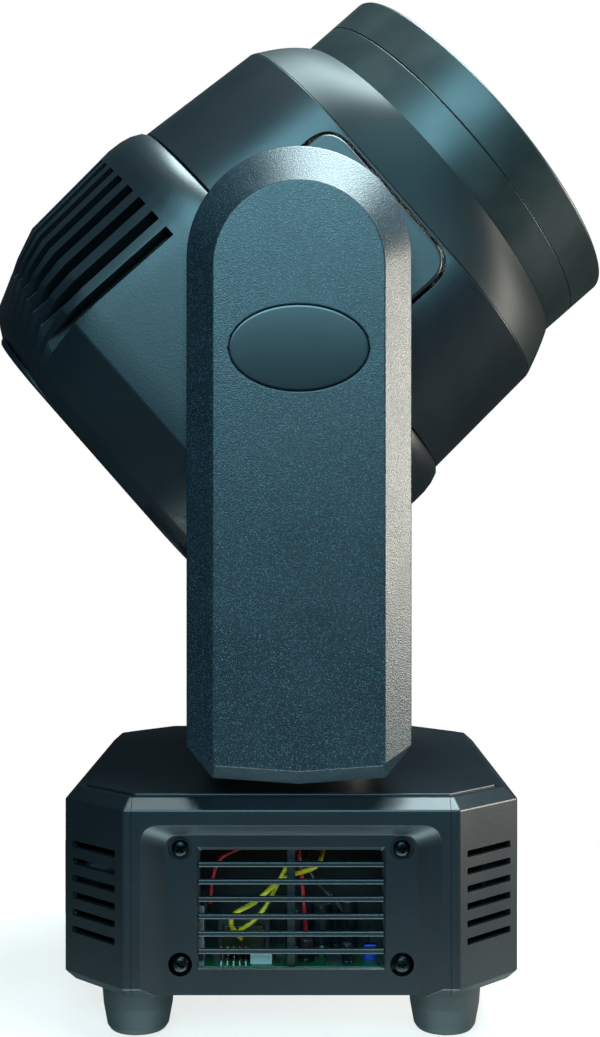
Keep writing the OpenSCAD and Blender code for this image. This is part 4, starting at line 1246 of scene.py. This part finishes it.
    def build_front(self) -> None:
        """Builds the front shell with its display window and button holes."""
        shell = self.end_shell("base_shell_front_moulded", 1)
        middle = sum(self.wall_z) / 2 + 4
        front = self.depth / 2
        window = turned((front, -24, middle), QUARTER, "Y")
        cut(shell, slab("window", lambda i: rounded_box(16 - i, 30 - i, 2.5), -6, 4, 0.01, window))
        spots = {label: turned((front, y, middle + dz), QUARTER, "Y") for label, y, dz in
                 (("menu", 33, 9), ("up", 53, 9), ("down", 53, -9), ("enter", 33, -9))}
        for spot in spots.values():
            cut(shell, prism("hole", circle(self.key_bore, 40), -6, 4, spot))
        on_base(soften(shell, 0.35, 50), "base", "shell_plastic", "base_shell_front")
        glass = slab("display_window_smoked", lambda i: rounded_box(15.9 - i, 29.9 - i, 2.4),
                     -2.4, -0.5, 0.4, window)
        on_base(soften(glass, 0.0), "base", "display_glass", "display_window")
        profile = [(0, -4), (5, -4), (5, 1.5), (3.6, 1.6), (0, 1.1)]
        profile = fillet(profile, [0, 0, 0.6, 1.2, 0], 4, closed=False)
        for label, spot in spots.items():
            cap = lathe(f"button_{label}_cap", profile, 48, spot, closed=False)
            stem = lathe("stem", [(0, -9), (2, -9), (2, -3.5), (0, -3.5)], 24, spot, closed=False)
            cap = join(f"button_{label}_cap", [cap, stem])
            on_base(soften(cap, 0.0), f"key_{label}", "button_plastic", f"button_{label}")

    def build_rear(self) -> None:
        """Builds the rear shell with the holes for its sockets."""
        shell = self.end_shell("base_shell_rear_moulded", -1)
        middle = turned((-self.depth / 2, 0, sum(self.wall_z) / 2), -QUARTER, "Y")
        inlet, fuse, signal = rounded_box(10, 14, 1), circle(6.6, 48), circle(12.1, 48)
        for y, outline in ((50, inlet), (12, fuse), (-22, signal), (-56, signal)):
            spot = middle @ Matrix.Translation((0, y, 0))
            cut(shell, prism("hole", outline, -6, 4, spot))
        on_base(soften(shell, 0.35, 50), "base", "shell_plastic", "base_shell_rear")


# ---------------------------------------------------------------- yoke


@dataclass
class Yoke:
    """Two bevelled arms joined by a bridge.

    Attributes:
        edge_half: Half the width of an arm over its bevels.
        face_half: Half the width of its flat outer face.
        bevel: Depth of the bevel.
        split: Distance from the middle to the joint of its two covers.
        outer: Distance from the middle to its outer face.
        wall: Thickness of the covers.
        tip: Height of the lowest point of an arm.
        rise: Height of the arch's centre above the tilt axis.
        face_drop: Depth of the flat face's arch centre below it.
        badge: Half width and half height of the blank badge.
        badge_drop: Distance of the badge below the tilt axis.
        badge_deep: Depth of the badge's recess.
    """

    edge_half: float = 45.2
    face_half: float = 34.0
    bevel: float = 10.0
    split: float = 104.0
    outer: float = 118.0
    wall: float = 2.5
    tip: float = 106.8
    rise: float = 3.7
    face_drop: float = 1.2
    badge: Point = (28.2, 17.4)
    badge_drop: float = 33.3
    badge_deep: float = 1.8

    def edge(self) -> list[Point]:
        """Outline of an arm at its edge, in X and Z."""
        low, half = self.tip + 2.4, self.edge_half
        return self.outline(half, TILT_Z + self.rise,
                            [(-half, low + 13), (10.5 - half, low), (0.0, self.tip)], 2.2)

    def face(self) -> list[Point]:
        """Outline of the flat outer face of an arm, point for point like its edge."""
        low, half = self.tip + 9, self.face_half
        return self.outline(half, TILT_Z - self.face_drop,
                            [(-half, low + 0.9), (0.9 - half, low - 0.06), (0.0, low - 2.4)], 0.4)

    @staticmethod
    def outline(half: float, arch_z: float, corners: list[Point], radius: float) -> list[Point]:
        """Outline of an arm.

        Args:
            half: Half its width.
            arch_z: Height of the centre of its arch.
            corners: The corners of its lower left part, down to its tip.
            radius: Radius of the corners.

        Returns:
            The outline's points, from the right end of the arch anticlockwise.
        """
        turns = [math.pi * i / 72 for i in range(72)]
        arch = [(half * math.cos(turn), arch_z + half * math.sin(turn)) for turn in turns]
        right = [(-x, z) for x, z in corners[-2::-1]]
        low = fillet([(-half, arch_z), *corners, *right, (half, arch_z)], radius, 3, closed=False)
        middle = len(low) // 2
        return [*arch, *steps_between(low[0], low[1], 30), *low[1:middle],
                *steps_between(low[middle - 1], low[middle], 2)[1:], *low[middle:-2],
                *steps_between(low[-2], low[-1], 30)]

    def ring(self, inset: float, y: float) -> Ring:
        """Ring of an arm's skin, drawn in from its edge by an inset in millimetres."""
        share = inset / (self.edge_half - self.face_half)
        return [Vector((ex + (fx - ex) * share, y, ez + (fz - ez) * share))
                for (ex, ez), (fx, fz) in zip(self.edge(), self.face())]

    def outer_cover(self, name: str) -> bpy.types.Object:
        """Outer cover of the left arm, with a sunken ellipse for its badge."""
        slope = self.edge_half - self.face_half
        turn_y = self.outer - self.bevel
        inside = [(slope + 1.5, self.outer - self.wall), (self.wall, turn_y - 1),
                  (self.wall, self.split)]
        skin = [(0.5, self.split), (0.0, self.split + 0.5)]
        bevel = [(0.0, self.split + 1), (0.0, turn_y), (slope, self.outer), (slope + 6, self.outer)]
        skin += fillet(bevel, [0, 1.6, 1.3, 0], 5, closed=False)[1:-1]
        rings = [self.ring(inset, y) for inset, y in inside + skin]
        rings += [self.badge_ring(grow, self.outer - drop) for drop, grow in
                  ((0.0, 0.5), (0.14, 0.14), (0.5, 0.0), (self.badge_deep, 0.0))]
        return loft(name, rings)

    def badge_ring(self, grow: float, y: float) -> Ring:
        """Ring of the badge's recess, point for point like the edge of the flat face."""
        middle = Vector((0, y, TILT_Z - self.badge_drop))
        a, b = self.badge[0] + grow, self.badge[1] + grow
        ring = []
        for spot in self.ring(self.edge_half - self.face_half, y):
            way = spot - middle
            ring.append(middle + way / math.hypot(way.x / a, way.z / b))
        return ring

    def badge_blank(self) -> bpy.types.Object:
        """The blank badge of the left arm, slightly domed."""
        a, b = self.badge
        base, middle = self.outer - self.badge_deep, TILT_Z - self.badge_drop
        dome = ((0.25, 0.0), (0.25, 0.55), (0.4, 0.8), (0.75, 0.93), (1.3, 0.96), (8, 0.99),
                (14, 1.0))
        turns = [2 * math.pi * i / 96 for i in range(96)]
        rings = [[Vector(((a - inset) * math.cos(t), base + rise,
                          middle + (b - inset) * math.sin(t))) for t in turns]
                 for inset, rise in dome]
        return loft("badge", rings)

    def build(self) -> None:
        """Builds and dresses the yoke."""
        cover = soften(self.outer_cover("arm_outer_cover_left_moulded"), 0.0)
        other = mirrored(cover, "arm_outer_cover_right_moulded")
        badge = soften(self.badge_blank(), 0.0)
        badges = join("arm_badges_blank", [badge, mirrored(badge, "badge_right")])
        place(cover, "yoke", "arm_plastic", "arm_outer_cover_left")
        place(other, "yoke", "arm_plastic", "arm_outer_cover_right")
        place(soften(badges, 0.0), "yoke", "badge_plastic", "arm_badges")
        for label in ("left", "right"):
            inner = refined(f"arm_inner_cover_{label}", f"arm_inner_cover_{label}_moulded", 0.8)
            place(inner, "yoke", "arm_plastic", f"arm_inner_cover_{label}")
        bridge = refined("bridge_cover", "bridge_cover_moulded", 0.5)
        place(bridge, "yoke", "arm_plastic", "bridge_cover")


# ---------------------------------------------------------------- head


@dataclass
class Head:
    """Tilting head, measured along its own axis from the tilt axis.

    Attributes:
        half_h: Half its height across the tilt axis.
        half_w: Half its width along the tilt axis.
        corner: Corner radius of the body.
        body_back: Back end of the body.
        taper: Half height lost along the body.
        collar: Back end of the collar.
        root: Back end of the hood.
        seam: Joint of the two hood rings.
        front: Front rim of the hood.
        hood_r: Radius of the hood.
        hood_wall: Thickness of the hood.
        cap_back: Back of the rear cap.
        wall: Thickness of the shells.
        count: Points round a section.
        louver_count: Number of louver slots at each corner of the cap.
        louver_step: Angle from one slot to the next, in degrees.
        louver_half: Half the depth and half the width of a slot.
    """

    half_h: float = 99.0
    half_w: float = 88.5
    corner: float = 60.0
    body_back: float = -5.0
    taper: float = 4.0
    collar: float = 54.0
    root: float = 77.0
    seam: float = 93.0
    front: float = 111.0
    hood_r: float = 85.5
    hood_wall: float = 3.0
    cap_back: float = 113.6
    wall: float = 2.5
    count: int = 160
    louver_count: int = 9
    louver_step: float = 8.6
    louver_half: Point = (12.0, 2.45)

    def section(self, half_x: float, half_y: float, radius: float, z: float) -> Ring:
        """Ring of a rounded section at a place along the axis."""
        return ring_at(polar_box(half_x, half_y, radius, self.count), z)

    def body_ring(self, inset: float, z: float) -> Ring:
        """Ring of the body, drawn in by an inset."""
        share = (z - self.body_back) / (self.collar - self.body_back)
        return self.section(self.half_h - self.taper * share - inset,
                            self.half_w - 2 * share - inset, self.corner - 2 * share - inset, z)

    def shell(self) -> bpy.types.Object:
        """The whole body shell, with its openings for the side pads."""
        wall, back, front = self.wall, self.body_back + 0.2, self.collar - 0.02
        path = [(wall, back), (0.4, back), (0.0, self.body_back + 0.6), (0.0, 15.0), (0.0, 35.0),
                (0.0, self.collar - 1.0), (0.25, self.collar - 0.3), (1.0, front), (wall, front)]
        rings = [self.body_ring(inset, z) for inset, z in path]
        shell = loft("shell", rings, path_closed=True, place=HEAD)
        for side in (-1, 1):
            cut(shell, self.pad_block("opening", 1.5, side, self.half_w - 9, self.half_w + 9, 0.01))
        return shell

    def pad_block(self, name: str, grow: float, side: int, low: float, high: float,
                  edge: float) -> bpy.types.Object:
        """Block with the outline of a side pad.

        Args:
            name: Name of the block.
            grow: How far it is larger than the pad.
            side: 1 for the left side, -1 for the right.
            low: Its near face, from the middle of the head.
            high: Its far face.
            edge: Radius of the far face's edge.

        Returns:
            The block.
        """
        front, back = self.collar - 3 + grow, self.body_back - (4.0 if grow else 0.0)
        corner = 12 + grow

        def outline(inset: float) -> list[Point]:
            """Outline drawn in by an inset, in X and along the axis."""
            half = 38.5 + grow - inset
            corners = [(half, back), (half, front - inset), (-half, front - inset), (-half, back)]
            return fillet(corners, [0.01, corner - inset, corner - inset, 0.01], 8)

        turn = HEAD @ Matrix(((1, 0, 0, 0), (0, 0, side, 0), (0, 1, 0, 0), (0, 0, 0, 1)))
        return slab(name, outline, low, high, edge, turn)

    def collar_piece(self) -> bpy.types.Object:
        """Crowned band between the body and the hood."""
        steps, crown = 14, 0.28
        inner, brim = self.hood_r - self.hood_wall, self.hood_r + 1.2
        half_h, half_w = self.half_h - self.taper - 0.2, self.half_w - 2.2
        start = self.section(half_h, half_w, self.corner - 2, self.collar)
        end = self.section(brim, brim, brim, self.root)
        rings = []
        for i in range(steps + 1):
            t = i / steps
            z = self.collar + (self.root - self.collar) * t
            share = (1 - crown) * t + crown * t ** 3
            rings.append([Vector((*a.lerp(b, share).xy, z)) for a, b in zip(start, end)])
        rings.append(self.section(inner, inner, inner, self.root))
        rings.append(self.section(half_h - 2.5, half_w - 2.5, self.corner - 4, self.collar))
        return loft("front_collar_moulded", rings, path_closed=True, place=HEAD)

    def hood(self, name: str, low: float, high: float, lip: float) -> bpy.types.Object:
        """One ring of the hood, with a rounded front edge."""
        out, inner = self.hood_r, self.hood_r - self.hood_wall
        corners = [(out, low), (out, high), (inner, high), (inner, low)]
        return lathe(name, fillet(corners, [0.35, lip, lip * 0.8, 0.3], 4), 144, HEAD)

    def cap_profile(self) -> list[tuple[float, float, float]]:
        """Half height, half width and place of each section of the rear cap."""
        h, w, front, back = self.half_h, self.half_w, self.body_back, -self.cap_back
        return [(h + 0.6, w - 0.9, front), (h + 2.2, w + 0.4, front - 1.6),
                (h + 4.0, w + 1.5, front - 6), (h + 5.0, w + 1.9, front - 11),
                (h + 5.4, w + 2, front - 17.6), (h + 2.2, w + 1.8, back + 43),
                (h - 2.6, w + 1.5, back + 31.4), (h - 3.4, w + 0.9, back + 29.2),
                (h - 11.6, w - 12.4, back + 6.8), (h - 12.6, w - 13.6, back + 5.4),
                (h - 20.4, w - 19.4, back)]

    def cap(self) -> bpy.types.Object:
        """Rear cap with its louver slots."""
        corner, back = self.corner + 2, -self.cap_back
        h, w, reach = self.half_h, self.half_w, corner - 12
        arc_x, arc_y = h + 4.5 - corner, w + 2 - corner
        rings = [self.section(x, y, min(corner, y - 6), z) for x, y, z in self.cap_profile()]
        hollow = ((h - 40, w - 38, 30, back), (h - 40, w - 38, 30, back + 3),
                  (h - 30, w - 28, 34, back + 12), (arc_x + reach, arc_y + reach, reach, -82),
                  (arc_x + reach, arc_y + reach, reach, -27),
                  (h - 2, w - 3.4, corner - 3, self.body_back - 1))
        rings += [self.section(*spot) for spot in hollow]
        cap = loft("rear_cap_moulded", rings, path_closed=True, place=HEAD)
        outline = [(x + corner + 0.5, y) for x, y in rounded_box(*self.louver_half, 0.4, 2)]
        for mx, my in ((-1, -1), (-1, 1), (1, -1), (1, 1)):
            parts = []
            for i in range(self.louver_count):
                angle = math.radians(83 - i * self.louver_step)
                way = math.atan2(my * math.sin(angle), mx * math.cos(angle))
                spot = HEAD @ turned((mx * arc_x, my * arc_y, 0), way, "Z")
                parts.append(prism(f"slot_{i}", outline, back + 12.6, -28, spot))
            cut(cap, join("slots", parts))
        return cap

    def build(self) -> None:
        """Builds and dresses the head."""
        shell = soften(self.shell(), 0.9, 50, 3)
        place(shell, "head", "shell_plastic", "head_shell_upper", "head_shell_lower")
        pads = [self.pad_block(f"pad_{side}", 0.0, side, self.half_w - 6, self.half_w + 1, 1.3)
                for side in (-1, 1)]
        place(soften(join("side_pads_moulded", pads), 0.0), "head", "shell_plastic", "side_pads")
        place(soften(self.collar_piece(), 0.0), "head", "shell_plastic", "front_collar",
              finish=Finishes.COLLAR)
        rear = self.hood("hood_ring_rear_moulded", self.root, self.seam - 0.15, 0.4)
        place(soften(rear, 0.0), "head", "hood_plastic", "hood_ring_rear")
        front = self.hood("hood_ring_front_moulded", self.seam + 0.15, self.front, 1.4)
        place(soften(front, 0.0), "head", "hood_plastic", "hood_ring_front")
        place(soften(self.cap(), 0.5, 50, 2), "head", "shell_plastic", "rear_cap")
        plate = refined("rear_plate", "rear_plate_moulded", 0.4)
        place(plate, "head", "shell_plastic", "rear_plate")


# ---------------------------------------------------------------- studio


@dataclass
class Studio:
    """Pale floor, soft lights and the camera.

    Attributes:
        lens: Focal length, in millimetres.
        sensor: Size of the camera's longer side, in millimetres.
        camera_at: Place of the camera.
        floor_clear: Radius of the floor that is seen in full.
        floor_end: Radius where it has faded.
        floor_glow: How much of it fades, from 0 to 1, at its clearest place.
    """

    lens: float = 52.28
    sensor: float = 36.0
    camera_at: tuple[float, float, float] = (0.4, -712.0, 213.3)
    floor_clear: float = 120.0
    floor_end: float = 330.0
    floor_glow: float = 0.84

    def light(self, name: str, at: tuple[float, float, float], aim: tuple[float, float, float],
              size: Point, power: float, colour: str) -> None:
        """Adds a rectangular softbox.

        Args:
            name: Name of the light.
            at: Its place, in millimetres.
            aim: The point it faces.
            size: Its width and height, in millimetres.
            power: Its power in watts.
            colour: Its sRGB colour.
        """
        data = bpy.data.lights.new(name, "AREA")
        data.shape, data.size, data.size_y = "RECTANGLE", size[0] * MM, size[1] * MM
        data.energy, data.color = power, linear(colour)[:3]
        lamp = new_object(name, data)
        lamp.location = Vector(at) * MM
        lamp.rotation_euler = (Vector(aim) - Vector(at)).to_track_quat("-Z", "Y").to_euler()

    def floor(self) -> None:
        """Lays the pale floor, which fades into the pale surroundings."""
        floor = prism("floor", circle(1400, 96), -6, -0.02)
        material = bpy.data.materials.new("paper_sweep_white")
        material.use_nodes = True
        tree = material.node_tree
        tree.nodes.clear()
        spot = add_node(tree, "ShaderNodeTexCoord").outputs["Object"]
        far = add_node(tree, "ShaderNodeVectorMath", None, {0: spot}, operation="LENGTH")
        fade = add_node(tree, "ShaderNodeMapRange",
                        {"From Min": self.floor_clear * MM, "From Max": self.floor_end * MM,
                         "To Min": self.floor_glow},
                        {"Value": far.outputs["Value"]}, interpolation_type="SMOOTHSTEP")
        tone = add_node(tree, "ShaderNodeMix", {6: linear("fff6ea"), 7: linear("fffaf0")},
                        {0: noise(tree, 4, 2.0, spot)}, data_type="RGBA").outputs[2]
        paper = add_node(tree, "ShaderNodeBsdfDiffuse", {"Roughness": 0.5}, {"Color": tone})
        clear = add_node(tree, "ShaderNodeBsdfTransparent")
        mixed = add_node(tree, "ShaderNodeMixShader", None,
                         {0: fade.outputs[0], 1: paper.outputs[0], 2: clear.outputs[0]})
        add_node(tree, "ShaderNodeOutputMaterial", None, {"Surface": mixed.outputs[0]})
        floor.data.materials.append(material)

    def build(self) -> None:
        """Builds the floor, the lights, the surroundings and the camera."""
        self.floor()
        world = bpy.data.worlds.new("studio")
        bpy.context.scene.world = world
        world.use_nodes = True
        tree = world.node_tree
        tree.nodes.clear()
        seen = add_node(tree, "ShaderNodeLightPath").outputs["Is Camera Ray"]
        backdrop = add_node(tree, "ShaderNodeBackground", {"Color": (1, 1, 1, 1), "Strength": 1.0})
        ambient = add_node(tree, "ShaderNodeBackground",
                           {"Color": linear("a9c4d0"), "Strength": 0.06})
        mixed = add_node(tree, "ShaderNodeMixShader", None,
                         {0: seen, 1: ambient.outputs[0], 2: backdrop.outputs[0]})
        add_node(tree, "ShaderNodeOutputWorld", None, {"Surface": mixed.outputs[0]})
        self.light("overhead", (340, -60, 1500), (0, 0, 250), (900, 900), 85, "d2ecf0")
        self.light("front", (-100, -1500, 960), (0, 0, 330), (760, 760), 37, "8ecfe2")
        self.light("right_strip", (1300, -110, 330), (0, -100, 260), (220, 460), 22, "f4efe0")
        self.light("light_table", (0, -300, -380), (0, -90, 60), (700, 260), 7, "c8ecf4")
        data = bpy.data.cameras.new("camera")
        data.lens, data.sensor_width, data.sensor_fit = self.lens, self.sensor, "AUTO"
        data.clip_start, data.clip_end = 0.02, 50
        camera = new_object("camera", data)
        camera.location = Vector(self.camera_at) * MM
        camera.rotation_euler = (QUARTER, 0, 0)
        bpy.context.scene.camera = camera
        bpy.context.scene.view_settings.view_transform = "Standard"


def dress_frame() -> None:
    """Gives each node that is still shown the finish of its slot."""
    for name, obj in FRAME["nodes"].items():
        if obj.hide_render:
            continue
        finish = SLOT_FINISH.get(SLOTS.get(name) or "", Finishes.PARTS)
        material = finish.build()
        for i in range(len(obj.data.materials)):
            obj.data.materials[i] = material
        if not obj.data.materials:
            obj.data.materials.append(material)


def main() -> None:
    """Builds the light, its finishes and the studio."""
    logging.basicConfig(level=logging.INFO, format="%(message)s")
    random.seed(SEED)
    Studio().build()
    Base().build()
    Yoke().build()
    Head().build()
    dress_frame()


if __name__ == "__main__":
    main()
